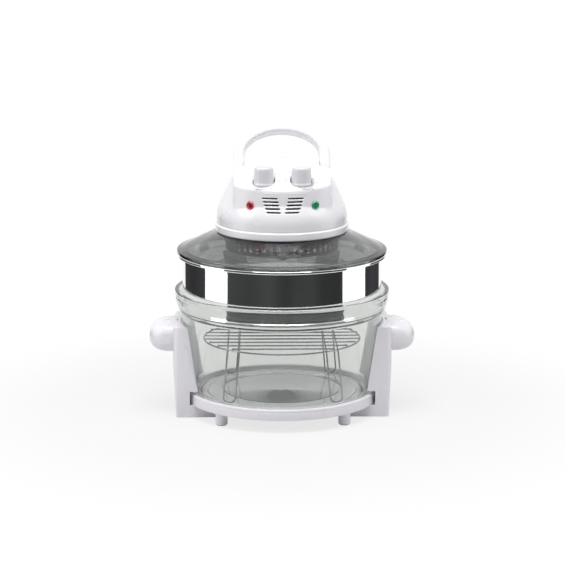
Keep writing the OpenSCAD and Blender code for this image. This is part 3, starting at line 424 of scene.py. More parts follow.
GREY_CASE = plastic("grey_case", (0.5, 0.51, 0.52), (0.46, 0.47, 0.48), rough=(0.4, 0.5))
RED_PART = plastic("red_switch_part", (0.6, 0.03, 0.025), (0.5, 0.025, 0.02), rough=(0.3, 0.4))
STEEL = metal("mirror_steel", (0.94, 0.945, 0.95), (0.9, 0.905, 0.91), rough=(0.035, 0.06), grain=120,
              bump=0.015, stretch=(1, 1, 9))
WIRE = metal("chromed_wire", (0.46, 0.47, 0.48), (0.38, 0.39, 0.40), rough=(0.1, 0.16), grain=600)
PAN = metal("darkened_steel", (0.2, 0.2, 0.21), (0.15, 0.15, 0.16), rough=(0.14, 0.22), grain=300, bump=0.08)
ZINC = metal("zinc_plate", (0.64, 0.65, 0.67), (0.56, 0.57, 0.6), rough=(0.25, 0.4), grain=500, bump=0.08)
LAMINATE = metal("stator_sheet", (0.34, 0.34, 0.36), (0.27, 0.27, 0.29), rough=(0.4, 0.5), grain=900,
                 bump=0.3, stretch=(0.1, 0.1, 4))
COPPER = metal("enamelled_copper", (0.66, 0.3, 0.14), (0.55, 0.23, 0.1), rough=(0.25, 0.35), grain=900,
               bump=0.4, stretch=(4, 0.2, 0.2))
BRONZE = metal("sintered_bronze", (0.6, 0.44, 0.2), (0.5, 0.36, 0.16), rough=(0.35, 0.5), grain=900, bump=0.2)
BOWL_GLASS = glass("bowl_glass", (0.82, 0.835, 0.82))
# the lid's dark grey tint is painted shade: it stands in for the dark reflections of the studio on the lid
LID_GLASS_PAINTED_SHADE = glass("lid_glass", (0.30, 0.312, 0.31))


def glowing(name, one, two, scale, glow, strength, coat=0.0):
    """Coloured clear stuff with a faint glow of its own: the lamps' lenses and the heater's tube."""
    mat, nt, bsdf = base_material(name)
    nt.links.new(cloudy(nt, scale, 2, one, two), bsdf.inputs["Base Color"])
    bsdf.inputs["Roughness"].default_value = 0.12
    if coat:
        bsdf.inputs["Coat Weight"].default_value = coat
        bsdf.inputs["Coat Roughness"].default_value = 0.05
    bsdf.inputs["Emission Color"].default_value = (*glow, 1)
    bsdf.inputs["Emission Strength"].default_value = strength
    return mat


def lens(name, colour, dark):
    return glowing(name, colour, dark, 220, colour, 0.06, coat=0.6)


QUARTZ = glowing("halogen_quartz", (0.4, 0.07, 0.045), (0.55, 0.16, 0.11), 40, (0.9, 0.12, 0.05), 0.12)
RED = lens("red_lens", (0.72, 0.06, 0.08), (0.42, 0.02, 0.03))
GREEN = lens("green_lens", (0.04, 0.42, 0.22), (0.015, 0.22, 0.1))
RED_DEEP = lens("red_lens_middle", (0.24, 0.008, 0.012), (0.12, 0.004, 0.006))
GREEN_DEEP = lens("green_lens_middle", (0.02, 0.24, 0.12), (0.006, 0.08, 0.04))


# ---------------------------------------------------------------- sizes shared with the frame

FLOOR_Z = 34                            # the bowl's floor, inside
SHELL_Z, TOP_Z, SHELL_WALL = 305, 403, 2.5
PIVOT_Z, TILT = 386, 25                 # the handle's pivots, and how far it leans forward
CONSOLE_Y = 12                          # the axis of the console's round front
FASCIA_R, FASCIA_DROP, FASCIA_LEAN = 104, 33, 0.06  # its radius, how far below the top, its growth downward
# the head's oval top lies between two arcs of LENS_R, which reach so far in front of and behind the middle
LENS_R, LENS_FRONT, LENS_BACK = 82, 22, 23
PANEL_ANGLE, BACK_ANGLE = 26, 40        # how steeply the head falls away in front of the oval and behind it
KNOB_X, KNOB_Y, KNOB_Z = 29, -65, 368.5


def fascia_r(z):
    """Radius of the console's front about its own axis, at a height."""
    return FASCIA_R - FASCIA_DROP * FASCIA_LEAN + (TOP_Z - z) * FASCIA_LEAN


def fascia_y(x, z, out=0.0):
    """Where the console's front is, so far out from its surface."""
    return CONSOLE_Y - math.sqrt((fascia_r(z) + out) ** 2 - x * x)


def panel_z(x, y, out=0.0):
    """Height of the sloping panel over a place on the plan."""
    r = math.hypot(x, y - (LENS_R - LENS_FRONT))
    return TOP_Z - max(0.0, r - LENS_R) * math.tan(math.radians(PANEL_ANGLE)) + out


# ---------------------------------------------------------------- base

FOOT_PLACES = [(x, y) for x in (-96, 96) for y in (-100, 100)]
SCREW_PLACES = [(x, y) for x in (-128, -110, 110, 128) for y in (-34, 34)]

form = [(0, 24), (147, 24), (147, 34), (150, 34), (150, 20, 0.3), (153, 20, 0.9), (153, 31.6, 0.3),
        (152.6, 32, 0.2), (152.6, 32.6, 0.2), (153, 33, 0.3), (153, 37, 1.6), (146.5, 37, 0.8),
        (144.5, 35, 0.8), (144.5, 27, 0.4), (0, 27)]
parts = [turned(fillet(form, 0.3), 200)]
rib = prism([(20, 20), (150.3, 20), (150.3, 26), (20, 26)], -1, 1)
for i in range(8):
    parts.append(placed(rib, Matrix.Rotation(math.radians((i + 0.5) * 45), 4, "Z")))
boss = fillet([(7.7, 24.5), (7.7, 20), (11.5, 20), (11.5, 26), (0, 26), (0, 24.5)], 0.3)
parts += [turned(boss, 40, place) for place in FOOT_PLACES]
parts += [turned([(1.6, 26), (1.6, 20), (4.5, 20), (4.5, 26)], 24, place) for place in SCREW_PLACES]
tray = new_object("tray_moulding", *join(parts), WHITE, angle=35)
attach(tray, "base")
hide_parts("base_tray")

foot = fillet([(0, 20), (9.5, 20, 0), (9.5, 3, 0.4), (9.35, 1, 1.2), (7.55, 1, 0.3), (7.55, 2.5, 0), (0, 2.5)],
              0.2)
feet = new_object("turned_feet", *join([turned(foot, 56, place) for place in FOOT_PLACES]), WHITE)
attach(feet, "base")
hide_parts("tray_feet")


def rounded_plan(x0, x1, half_y, r, steps=8):
    """A rectangle with round corners."""
    cx0, cx1, cy = x0 + r, x1 - r, half_y - r
    return (polar(cx1, cy, r, 0, 90, steps) + polar(cx0, cy, r, 90, 180, steps)
            + polar(cx0, -cy, r, 180, 270, steps) + polar(cx1, -cy, r, 270, 360, steps))


def frustum(z0, r0, z1, r1):
    return turned([(0, z0), (r0, z0), (r1, z1), (0, z1)], 160)


def make_arm(side):
    """A deep column with a soft top, and the bar that runs in under the tray."""
    front = fillet([(98, 1.5, 0.6), (168, 1.5, 1.5), (172, 87.6, 60), (172, 146, 5), (122, 146, 0), (122, 20, 2),
                    (98, 20, 0.6)], 0.5, steps=6)
    arm = solid(side + "_arm_column", prism(front, -62, 62))
    boolean(arm, prism(rounded_plan(98, 172, 62, 9), -5, 160, "z"), "INTERSECT")
    boolean(arm, frustum(27, 145, 163, 164), "DIFFERENCE")  # room for the bowl
    boolean(arm, frustum(20, 159, 43, 159), "DIFFERENCE")   # room for the tray
    boolean(arm, prism(rounded_plan(101, 165, 59, 6), 0, 3.6, "z"), "DIFFERENCE")
    soften(arm, 1.6, WHITE)
    if side == "left":
        arm.data.transform(Matrix.Scale(-1, 4, (1, 0, 0)))
        arm.data.flip_normals()
    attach(arm, "base")
    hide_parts(side + "_arm")


def make_grip(side):
    """A full, rounded grip: sections along y that draw in towards both ends."""
    root, face, reach = 165.0, 172.0, 39.0      # inside the arm, the arm's side, how far the grip stands out
    mid_z, half_z, half_y = 123.5, 22.5, 45.0
    sections = []
    for i in range(45):
        y = -half_y + half_y * (1 - math.cos(math.pi * i / 44))
        e = abs(y) / half_y
        wide = reach * max(0.02, (1 - e ** 3.2) ** (1 / 2.6) if e < 1 else 0)
        tall = half_z * max(0.02, (1 - e ** 7) ** (1 / 2.4) if e < 1 else 0)
        ring = [(root, y, mid_z - tall)]
        for k in range(29):
            a = -math.pi / 2 + math.pi * k / 28
            ca, sa = abs(math.cos(a)), math.sin(a)
            power = 2 / (2.35 if sa > 0 else 2.9)
            ring.append((face + wide * ca ** power, y, mid_z + math.copysign(tall * abs(sa) ** power, sa)))
        sections.append(ring + [(root, y, mid_z + tall)])
    verts, faces = loft(sections)
    if side == "left":
        verts = [(-x, y, z) for x, y, z in verts]
    grip = new_object(side + "_grip_moulding", verts, faces, WHITE, angle=50)
    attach(grip, "base")
    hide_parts(side + "_grip")


for side in ("left", "right"):
    make_arm(side)
    make_grip(side)


# ---------------------------------------------------------------- bowl

walls = [(118, 29, 1), (120, 27, 1), (128, 27, 1), (130, 29, 1), (142, 29.2, 11), (161, 163, 6), (164, 167, 3),
         (168.5, 179, 6), (169, 190, 4), (170, 192.5, 1.2), (170, 198, 1.6), (163.6, 198, 0.9),
         (162.6, 170.9, 0.9), (155, 170.9, 1.2), (155, 163, 6), (137, 34, 8)]
walls = fillet([(0, 29)] + walls + [(0, 34)], 1, closed=False, steps=6)[1:-1]
# the floor, with a faint ring and middle pressed into it
floor = [(128.5, 34), (96.6, 34), (96, 33.95), (95.2, 33.7), (92.8, 33.7), (92, 33.95), (91.4, 34), (7, 34),
         (6, 34.1), (5, 34.4), (4, 34.5), (0, 34.5)]
profile = [(0, 29), (117.2, 29)] + walls + floor
bowl = new_object("bowl_glass_body", *turned(profile, 224, closed=False), BOWL_GLASS, angle=60)
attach(bowl, "bowl")
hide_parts("glass_bowl")


# ---------------------------------------------------------------- rack

RACK_Z, RACK_R, WIRE_R = 119, 124, 1.3
ring_path = [(x, y, RACK_Z) for x, y in polar(0, 0, RACK_R, 0, 357.5, 143)]
ring_wire = new_object("rack_round_wire", *tube(ring_path, WIRE_R, closed=True), WIRE)
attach(ring_wire, "rack")
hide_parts("rack_ring")
bars = []
z = RACK_Z + 2 * WIRE_R + 0.05
for i in range(9):
    y = (i - 4) * 24
    half = math.sqrt(RACK_R ** 2 - y * y)
    bars.append(tube([(half * t, y, z) for t in (-1, -0.5, 0, 0.5, 1)], WIRE_R))
bars = new_object("rack_cross_bars", *join(bars), WIRE)
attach(bars, "rack")
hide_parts("rack_bars")

RAIL_Z = RACK_Z - 2 * WIRE_R - 0.05
lean = math.radians(5)
rail_x0, spread_x = 0.54 * RACK_R, 18.0
rail_y, bend = 0.75 * RACK_R, 4.0
loop_r = spread_x / 2 * math.cos(lean)
down = Vector((math.sin(lean), 0, -math.cos(lean)))
back = Vector((0, 1, 0))
inward = Vector((-math.cos(lean), 0, -math.sin(lean)))
near_top = Vector((rail_x0, rail_y, RAIL_Z))
far_top = near_top + Vector((spread_x, 0, 0))
reach = (RAIL_Z - FLOOR_Z - WIRE_R - loop_r + loop_r * math.sin(lean)) / math.cos(lean)
middle = near_top + bend * back + reach * down - loop_r * inward


def leg_bend(top):
    """The wire's bend from its run under the bars down into a leg."""
    turns = [math.radians(15 * i) for i in range(7)]
    return [top + bend * (math.sin(a) * back + (1 - math.cos(a)) * down) for a in turns]


half_loop = leg_bend(near_top)
for i in range(17):
    a = math.radians(180 * i / 16)
    half_loop.append(middle + loop_r * (math.cos(a) * inward + math.sin(a) * down))
half_loop += reversed(leg_bend(far_top))
front_loop = [Vector((p.x, -p.y, p.z)) for p in reversed(half_loop)]
# one wire each side: down, along under the bars, round the loop and back
circuit = half_loop + front_loop
frames = [tube([(side * p.x, p.y, p.z) for p in circuit], WIRE_R, closed=True) for side in (-1, 1)]
legs = new_object("rack_leg_wires", *join(frames), WIRE)
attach(legs, "rack")
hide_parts("rack_rails", "rack_legs")


# ---------------------------------------------------------------- steel ring

band = [(156.8, 172, 0.3), (156.8, 245, 3), (156.2, 251, 2), (156.2, 256, 0.8), (158, 257, 0.5),
        (165, 257, 0.9), (166, 256, 0.7), (166, 253, 0.9), (164.5, 252, 0.6), (163, 253, 0.4),
        (163, 255, 0.3), (158, 255, 0.6), (158, 250.5, 1), (157.6, 244.5, 2), (157.6, 178.5, 1),
        (157.6, 175, 0.4), (159.1, 175, 0.5), (161.1, 174, 0.9), (161.1, 172, 0.9), (160.1, 171, 0.4),
        (157.6, 171, 0.4)]
ring = new_object("polished_ring_band", *turned(fillet(band, 0.3), 224), STEEL, angle=50)
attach(ring, "ring")
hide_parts("extension_ring", "ring_flange")


# ---------------------------------------------------------------- lid

form = [(84, 286, 0.5), (102, 286, 6), (155.5, 259.5, 4), (150.5, 259, 0.6), (150.5, 253, 0.6),
        (155.5, 253, 0.6), (155.5, 257, 0.4), (166, 257, 0.8), (166, 262, 1.4), (159.5, 263.5, 4),
        (106, 289.9, 8), (103, 291, 5), (84, 291, 0.5)]
lid = new_object("lid_glass_body", *turned(fillet(form, 0.5, steps=5), 224), LID_GLASS_PAINTED_SHADE, angle=60)
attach(lid, "lid")
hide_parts("glass_lid")


# ---------------------------------------------------------------- head

CLAMP_R, CLIP_R = 78, 86


def on_circle(r, count, start=0):
    """Places spaced evenly on a circle."""
    turns = [math.radians(start + 360 / count * k) for k in range(count)]
    return [(r * math.cos(a), r * math.sin(a)) for a in turns]


flange = [(14, 292), (103.5, 292, 0.8), (105, 293.5, 1.2), (105, 302.6, 1.0), (103.6, 303.4, 0.5),
          (102.6, 304.0, 0.3), (102.6, 305, 0.2), (98.5, 305), (98.5, 302), (101, 302), (101, 295), (14, 295)]
parts = [turned(fillet(flange, 0.3), 224)]
parts += [turned([(1.6, 286.2), (5, 286.2), (5, 303), (1.6, 303)], 32, place) for place in on_circle(CLAMP_R, 4)]
head_floor = new_object("head_floor_moulding", *join(parts), WHITE_HEAD)
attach(head_floor, "lid")
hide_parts("head_base")


def panel_cone(y, angle, inset, above=0.0):
    """A cone that falls away from the edge of the oval top, its axis at y."""
    s = math.tan(math.radians(angle))
    edge = LENS_R - inset * (1 / math.cos(math.radians(angle)) - 1) / s
    top = TOP_Z - inset
    form = [(0, top - 140), (edge + 140 / s, top - 140), (edge - above / s, top + above), (0, top + above)]
    return turned(form, 256, (0, y))


def front_cone(inset):
    return panel_cone(LENS_R - LENS_FRONT, PANEL_ANGLE, inset)


def head_form(inset):
    """The head's outer form below its panel, or with an inset the hollow inside it."""
    # the dome, with a round shoulder
    base_r, rnd, ang, z0 = 102.5, 55, 24, SHELL_Z + 8
    slope_r = base_r - rnd * (1 - math.cos(math.radians(ang)))
    slope_z = z0 + rnd * math.sin(math.radians(ang))
    end_z = SHELL_Z + 79
    end_r = slope_r - (end_z - slope_z) * math.tan(math.radians(ang)) - inset
    low = SHELL_Z - 9
    form = [(0, low), (base_r - inset, low)] + polar(base_r - rnd - inset, z0, rnd, 0, ang, 16)
    form += [(end_r, end_z - inset), (end_r - 3, end_z + 4 - inset), (0, end_z + 4 - inset)]
    dome = solid("head_shell_moulding", turned(form, 256))
    # the shelf behind, that the handle folds down to
    back = -15.5 - inset
    boolean(dome, prism([(-110, back), (110, back), (110, 115), (-110, 115)], 371.5 - inset, 420, "z"),
            "DIFFERENCE")
    # the console in front
    low, high = SHELL_Z - 12, TOP_Z + 9
    form = [(0, low), (fascia_r(low) - inset, low), (fascia_r(high) - inset, high), (0, high)]
    console = solid("console", turned(form, 320, (0, CONSOLE_Y)))
    boolean(console, panel_cone(LENS_BACK - LENS_R, BACK_ANGLE, inset, 5), "INTERSECT")
    w, side = 58.5 - inset, 76 - inset
    plan = [(-side, -130), (side, -130), (side, back), (w, back), (w, -2)] + polar(0, -2, w, 3, 177, 60)
    plan += [(-w, -2), (-w, back), (-side, back)]
    boolean(console, prism(plan, 285, 415, "z"), "INTERSECT")
    boolean(dome, console, "UNION")
    # the flat that the mains inlet stands in
    pw, ph, pad_z = 25 - inset, 15.5 - inset, 323
    pad = [(-pw, pad_z - ph), (pw, pad_z - ph), (pw, pad_z + ph), (-pw, pad_z + ph)]
    boolean(dome, prism(pad, 82, 102.8 - inset), "UNION")
    return dome


def knob_cylinder(side, r, z0, z1):
    return turned([(0, z0), (r, z0), (r, z1), (0, z1)], 96, (side * KNOB_X, KNOB_Y))


LAMP_TURN, LAMP_Z, LAMP_OUT = 28.4, 344.5, 105.8


def lamp_frame(side):
    """From the lamp's own frame, its axis along Z, to its place on the fascia."""
    return (Matrix.Translation((0, CONSOLE_Y, LAMP_Z)) @ Matrix.Rotation(math.radians(side * LAMP_TURN), 4, "Z")
            @ Matrix.Rotation(math.radians(90), 4, "X") @ Matrix.Translation((0, 0, LAMP_OUT)))


def make_head():
    """The moulded shell: the dome, and a fuller console whose panel slopes to an oval top."""
    shell = head_form(0)
    hollow = head_form(SHELL_WALL)
    boolean(hollow, front_cone(SHELL_WALL), "INTERSECT")
    boolean(shell, hollow, "DIFFERENCE")
    for side in (-1, 1):
        boolean(shell, knob_cylinder(side, 19.2, 364.5, 425), "UNION")
    boolean(shell, front_cone(0), "INTERSECT")
    boolean(shell, prism([(-130, -130), (130, -130), (130, 130), (-130, 130)], 270, SHELL_Z, "z"), "DIFFERENCE")
    for side in (-1, 1):
        boolean(shell, prism(polar(0, PIVOT_Z, 8, 0, 352, 44), side * 51.5, side * 57, "x"), "UNION")
    for side in (-1, 1):
        boolean(shell, knob_cylinder(side, 17.2, 367, 430), "DIFFERENCE")
        boolean(shell, knob_cylinder(side, 4.6, 355, 375), "DIFFERENCE")
        lamp_hole = turned([(0, -12), (5.5, -12), (5.5, 8), (0, 8)], 64)
        boolean(shell, placed(lamp_hole, lamp_frame(side)), "DIFFERENCE")
    slots = []
    for side in (-1, 1):
        for i in range(5):
            ends = side * (7.7 - 1.2 * i), side * (32.5 - 1.7 * i)
            slots.append(prism(rounded_bar(*ends, TOP_Z - 46.5 - i * 5.3, 1.15), -110, -84))
    boolean(shell, join(slots), "DIFFERENCE")
    boolean(shell, prism(polar(0, PIVOT_Z, 4.05, 0, 350, 35), -70, 70, "x"), "DIFFERENCE")
    inlet = [(-14.1, 312.7), (14.1, 312.7), (14.1, 333.3), (-14.1, 333.3)]
    boolean(shell, prism(inlet, 80, 112), "DIFFERENCE")
    return shell


def rounded_bar(x0, x1, z, r):
    """A slot's outline: a bar with half-round ends."""
    lo, hi = min(x0, x1), max(x0, x1)
    return polar(hi - r, z, r, -90, 90, 8) + polar(lo + r, z, r, 90, 270, 8)


def soft_edge(x, y, z):
    """From 0 to 1 where the console's panel, front and cheeks run into each other and into the dome."""
    def close(distance):
        return max(0.0, min(1, 2 - 2 * distance / 9))

    if y > -48 or z < 309:
        return 0.0
    brow = 0.0
    if abs(x) < 80:
        brow = close(abs(math.hypot(x, y - CONSOLE_Y) - fascia_r(z) + 1)) * close(abs(z - panel_z(x, y)))
    return max(brow, close(abs(abs(x) - 75)))


head = make_head()
remeshed(head, 0.85, WHITE_HEAD, 4, soft_edge, 80)
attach(head, "lid")
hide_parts("head_shell")


# ---------------------------------------------------------------- handle

def handle_stations():
    """Inner and outer edge and half depth of the bail along its run, in its own frame, the pivots at z = 0."""
    inner_x, outer_x, deep = 59.25, 75.9, 13.7
    spring_z, outer_rise = 19.98, 54.02     # where the arch begins, and how far it rises
    straight, inner_rise = 3.2, 37.82       # the inner edge stays straight a little longer
    rows = []
    for i in range(15):
        a = math.radians(88 - 88 * i / 14)
        z = -deep * math.sin(a)
        rows.append(((inner_x, z), (outer_x, z), deep * math.cos(a)))
    for z in (5, 10, 15):
        rows.append(((inner_x, z), (outer_x, z), deep))
    for i in range(41):
        u = i / 40
        a = math.radians(90 * u)
        outer = (outer_x * math.cos(a), spring_z + outer_rise * math.sin(a))
        if u < 0.05:
            inner = (inner_x, spring_z + straight * u / 0.05)
        else:
            a = math.radians(90 * (u - 0.05) / 0.95)
            inner = (inner_x * math.cos(a), spring_z + straight + inner_rise * math.sin(a))
        rows.append((inner, outer, deep))
    other = [((-a[0], a[1]), (-b[0], b[1]), d) for a, b, d in reversed(rows[:-1])]
    return rows + other


def make_handle():
    """The bail: rounded sections along its run, leant forward about its pivots."""
    sections = []
    for inner, outer, depth in handle_stations():
        centre = (Vector(inner) + Vector(outer)) / 2
        across = Vector(outer) - Vector(inner)
        half = across.length / 2
        across.normalize()
        r = min(3.6, depth * 0.92)
        section = (polar(half - r, depth - r, r, 0, 90, 5) + polar(r - half, depth - r, r, 90, 180, 5)
                   + polar(r - half, r - depth, r, 180, 270, 5) + polar(half - r, r - depth, r, 270, 360, 5))
        points = [(centre + across * a, y) for a, y in section]
        sections.append([(p.x, y, p.y) for p, y in points])
    bail = solid("bail_moulding", loft(sections))
    for side in (-1, 1):
        hole = prism(polar(0, 0, 4.02, 0, 350, 35), side * 57.5, side * 71.9, "x")
        boolean(bail, hole, "DIFFERENCE")
    turn = Matrix.Translation((0, 0, PIVOT_Z * MM)) @ Matrix.Rotation(math.radians(-TILT), 4, "X")
    bail.data.transform(turn)
    finish_mesh(bail, WHITE_HEAD)
    return bail


bail = make_handle()
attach(bail, "handle")
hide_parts("bail_handle")


# ---------------------------------------------------------------- knobs, scales, lamps, vents

def make_knob(name, side, body, node):
    """A fluted grip on a wider smooth skirt, hollow below, with a boss that takes the stem."""
    seg, flutes = 288, 24
    outline = [(13.7, 0), (16.1, 0), (16.42, 0.15), (16.5, 0.45), (16.5, 6.5), (16.42, 7.4), (16.1, 8.3),
               (15.75, 8.9), (15.62, 9.6), (15.6, 10.6), (15.45, 16), (15.25, 24), (15.1, 29.5), (14.9, 31.0),
               (14.4, 32.3), (13.5, 33.2), (12.6, 33.5), (6, 33.2), (0, 33.1), (0, 29.8), (13.7, 29.8)]
    flute_depth = {9: 0.06, 10: 0.24, 11: 0.24, 12: 0.24, 13: 0.16, 14: 0.06}
    verts, rings = [], []
    for i, (r, z) in enumerate(outline):
        if r == 0:
            rings.append([len(verts)])
            verts.append((0, 0, z))
            continue
        rings.append(range(len(verts), len(verts) + seg))
        for k in range(seg):
            a = 2 * math.pi * k / seg
            rr = r - flute_depth.get(i, 0) * (0.5 - 0.5 * math.cos(flutes * a)) ** 2
            verts.append((rr * math.cos(a), rr * math.sin(a), z))
    boss = turned(fillet([(3.05, 7), (6, 7), (6, 30.2), (3.05, 30.2)], 0.3), 48)
    pointer = prism(fillet([(-1.2, -13.4), (1.2, -13.4), (0.8, 6), (-0.8, 6)], 0.5), 32.6, 34.0, "z")
    v, f = join([(verts, skin(rings, seg)), boss, pointer])
    knob = new_object(name, [(x + side * KNOB_X, y + KNOB_Y, z + KNOB_Z) for x, y, z in v], f, KNOB, angle=50)
    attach(knob, body)
    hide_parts(node)


make_knob("timer_grip", -1, "timer", "timer_knob")
make_knob("thermostat_grip", 1, "thermostat", "thermostat_knob")


def ring_sheet(side, r0, r1, a0, a1, low, high, steps=120, rings=3):
    """Part of a ring on the panel, closed all round, whose radii may change evenly along it."""
    verts, faces = [], []
    r0, r1 = (r0 if isinstance(r0, tuple) else (r0, r0)), (r1 if isinstance(r1, tuple) else (r1, r1))
    whole = a1 - a0 >= 360
    count = steps if whole else steps + 1
    for level in (low, high):
        for i in range(count):
            t = i / steps
            a = math.radians(a0 + (a1 - a0) * t)
            for j in range(rings + 1):
                s = j / rings
                r = (r0[0] + (r0[1] - r0[0]) * t) * (1 - s) + (r1[0] + (r1[1] - r1[0]) * t) * s
                x, y = side * KNOB_X + r * math.cos(a), KNOB_Y + r * math.sin(a)
                verts.append((x, y, panel_z(x, y, level)))
    w = rings + 1
    top = count * w
    for i in range(steps):
        a, b = i * w, ((i + 1) % count) * w
        for j in range(rings):
            faces.append((a + j, b + j, b + j + 1, a + j + 1))
            faces.append((top + a + j, top + a + j + 1, top + b + j + 1, top + b + j))
        faces.append((a, top + a, top + b, b))
        faces.append((a + rings, b + rings, top + b + rings, top + a + rings))
    if not whole:
        for a, turn in ((0, False), ((count - 1) * w, True)):
            for j in range(rings):
                face = (a + j, a + j + 1, top + a + j + 1, top + a + j)
                faces.append(tuple(reversed(face)) if turn else face)
    return verts, faces


plates = [ring_sheet(side, 18.05, 21.45, 0, 360, 0.02, 0.55) for side in (-1, 1)]
plate = new_object("scale_rings", *join(plates), PLATE, angle=30)
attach(plate, "lid")
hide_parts("dial_plates")

ticks = []
for i in range(31):
    a = 240 - 300 * i / 30
    end, half = (20.9, 0.9) if i % 5 == 0 else (19.9, 0.55)
    ticks.append(ring_sheet(-1, 18.6, end, a - half, a + half, 0.5, 0.6, steps=2, rings=1))
for i in range(7):
    a = 225 - 270 * i / 6
    ticks.append(ring_sheet(1, 22.0, 23.3, a - 0.6, a + 0.6, 0.0, 0.06, steps=2, rings=1))
# the thermostat's wedge: two edges that part, and its blunt end
ticks.append(ring_sheet(1, (18.5, 18.7), (18.8, 19.3), 195, 385, 0.5, 0.6, steps=90, rings=1))
ticks.append(ring_sheet(1, (18.5, 21.0), (18.8, 21.4), 195, 385, 0.5, 0.6, steps=90, rings=1))
ticks.append(ring_sheet(1, 18.9, 21.3, 384.2, 386.2, 0.5, 0.6, steps=3, rings=1))
scale_ink = new_object("scale_ink", *join(ticks), INK, smooth=False)
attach(scale_ink, "lid")


def numeral(text, side, r, angle, size=2.6):
    """Raised numbers round a knob, laid on the panel."""
    curve = bpy.data.curves.new("number", "FONT")
    curve.body = text
    curve.size = size
    curve.align_x = "CENTER"
    curve.align_y = "CENTER"
    ob = bpy.data.objects.new("number", curve)
    scene.collection.objects.link(ob)
    bpy.context.view_layer.update()
    me = bpy.data.meshes.new_from_object(ob.evaluated_get(bpy.context.evaluated_depsgraph_get()))
    bpy.data.objects.remove(ob)
    a = math.radians(angle)
    cx, cy = side * KNOB_X + r * math.cos(a), KNOB_Y + r * math.sin(a)
    flat = [(cx + p.co.x, cy + p.co.y) for p in me.vertices]
    verts = [(x, y, panel_z(x, y, out)) for out in (-0.02, 0.06) for x, y in flat]
    n = len(flat)
    faces = [tuple(p.vertices) for p in me.polygons]
    edges = {(p, face[(i + 1) % len(face)]): True for face in faces for i, p in enumerate(face)}
    walls = [(p, q, q + n, p + n) for p, q in edges if (q, p) not in edges]
    bottom = [tuple(reversed(face)) for face in faces]
    return verts, bottom + [tuple(i + n for i in face) for face in faces] + walls


numbers = [numeral(str(i * 10), -1, 23.6, 240 - 50 * i) for i in range(7)]
for text, angle in (("65", 225), ("125", 180), ("175", 135), ("200", 90), ("225", 0), ("250", -45)):
    numbers.append(numeral(text, 1, 25.2, angle))
scale_numbers = new_object("scale_numbers", *join(numbers), INK, smooth=False)
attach(scale_numbers, "lid")

for side, name, node, edge_mat, deep_mat in ((-1, "red_pilot", "red_lamp", RED, RED_DEEP),
                                             (1, "green_pilot", "green_lamp", GREEN, GREEN_DEEP)):
    rim = fillet([(4.2, -8), (5.4, -8), (5.4, 0.3, 0), (6.5, 0.3, 0.2), (6.5, 1.0, 0.5), (5.6, 2.0, 0.6),
                  (4.6, 2.3, 0.3), (4.2, 1.6, 0.2)], 0.15)
    edge = new_object(name + "_rim", *placed(turned(rim, 72), lamp_frame(side)), edge_mat, angle=45)
    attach(edge, "lid")
    window = fillet([(0, -6), (4.15, -6), (4.15, 1.0, 0.3), (3.2, 1.7, 0.5), (0, 2.1)], 0.1)
    middle = new_object(name + "_lens", *placed(turned(window, 60), lamp_frame(side)), deep_mat, angle=45)
    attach(middle, "lid")
    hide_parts(node)

beads = []
for side in (-1, 1):
    corners = fillet([(5.0, 364.2), (36.0, 364.2), (30.0, 336.9), (1.5, 336.9)], 3.0, steps=6)
    path = []
    for i, p in enumerate(corners):
        q = corners[(i + 1) % len(corners)]
        steps = max(1, int(math.dist(p, q) / 1.5))
        for k in range(steps):
            x, z = p[0] + (q[0] - p[0]) * k / steps, p[1] + (q[1] - p[1]) * k / steps
            path.append((side * x, fascia_y(x, z, -0.1), z))
    beads.append(tube(path, 0.42, sides=10, closed=True, up=(0, 1, 0)))
bead = new_object("vent_beads", *join(beads), WHITE_HEAD, angle=60)
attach(bead, "lid")


# ---------------------------------------------------------------- heater pan

def make_pan():
    """A drawn steel pan whose wall has a sunk band of air slots between two beads."""
    form = [(6, 283.8), (88.4, 283.8, 0.8), (88.4, 258.2, 0.5), (83, 258.2, 0.4), (83, 257, 0.4), (90, 257, 1.1),
            (90, 261.6, 0.5), (89.6, 262.2, 0.4), (89.6, 279.6, 0.4), (90, 280.2, 0.5), (90, 283.8, 0.6),
            (96, 283.8, 0.3), (96, 285, 0.3), (6, 285)]
    pan = solid("drawn_pan", turned(fillet(form, 0.1, steps=3), 240))
    slot = prism(fillet([(-2.6, 263.2), (2.6, 263.2), (2.6, 278.8), (-2.6, 278.8)], 1.8), 85, 95, "x")
    slots = [placed(slot, Matrix.Rotation(math.radians((i + 0.5) * 7.5), 4, "Z")) for i in range(48)]
    boolean(pan, join(slots), "DIFFERENCE")
    holes = [prism(polar(x, y, 1.6, 0, 345, 23), 280, 290, "z") for x, y in on_circle(CLAMP_R, 4)]
    holes += [prism(polar(x, y, 1.6, 0, 345, 23), 252, 262, "z") for x, y in on_circle(CLIP_R, 3, 30)]
    boolean(pan, join(holes), "DIFFERENCE")
    finish_mesh(pan, PAN, angle=35)
    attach(pan, "lid")
    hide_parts("heater_pan")


make_pan()


# ---------------------------------------------------------------- finishes of the CAD parts that stay

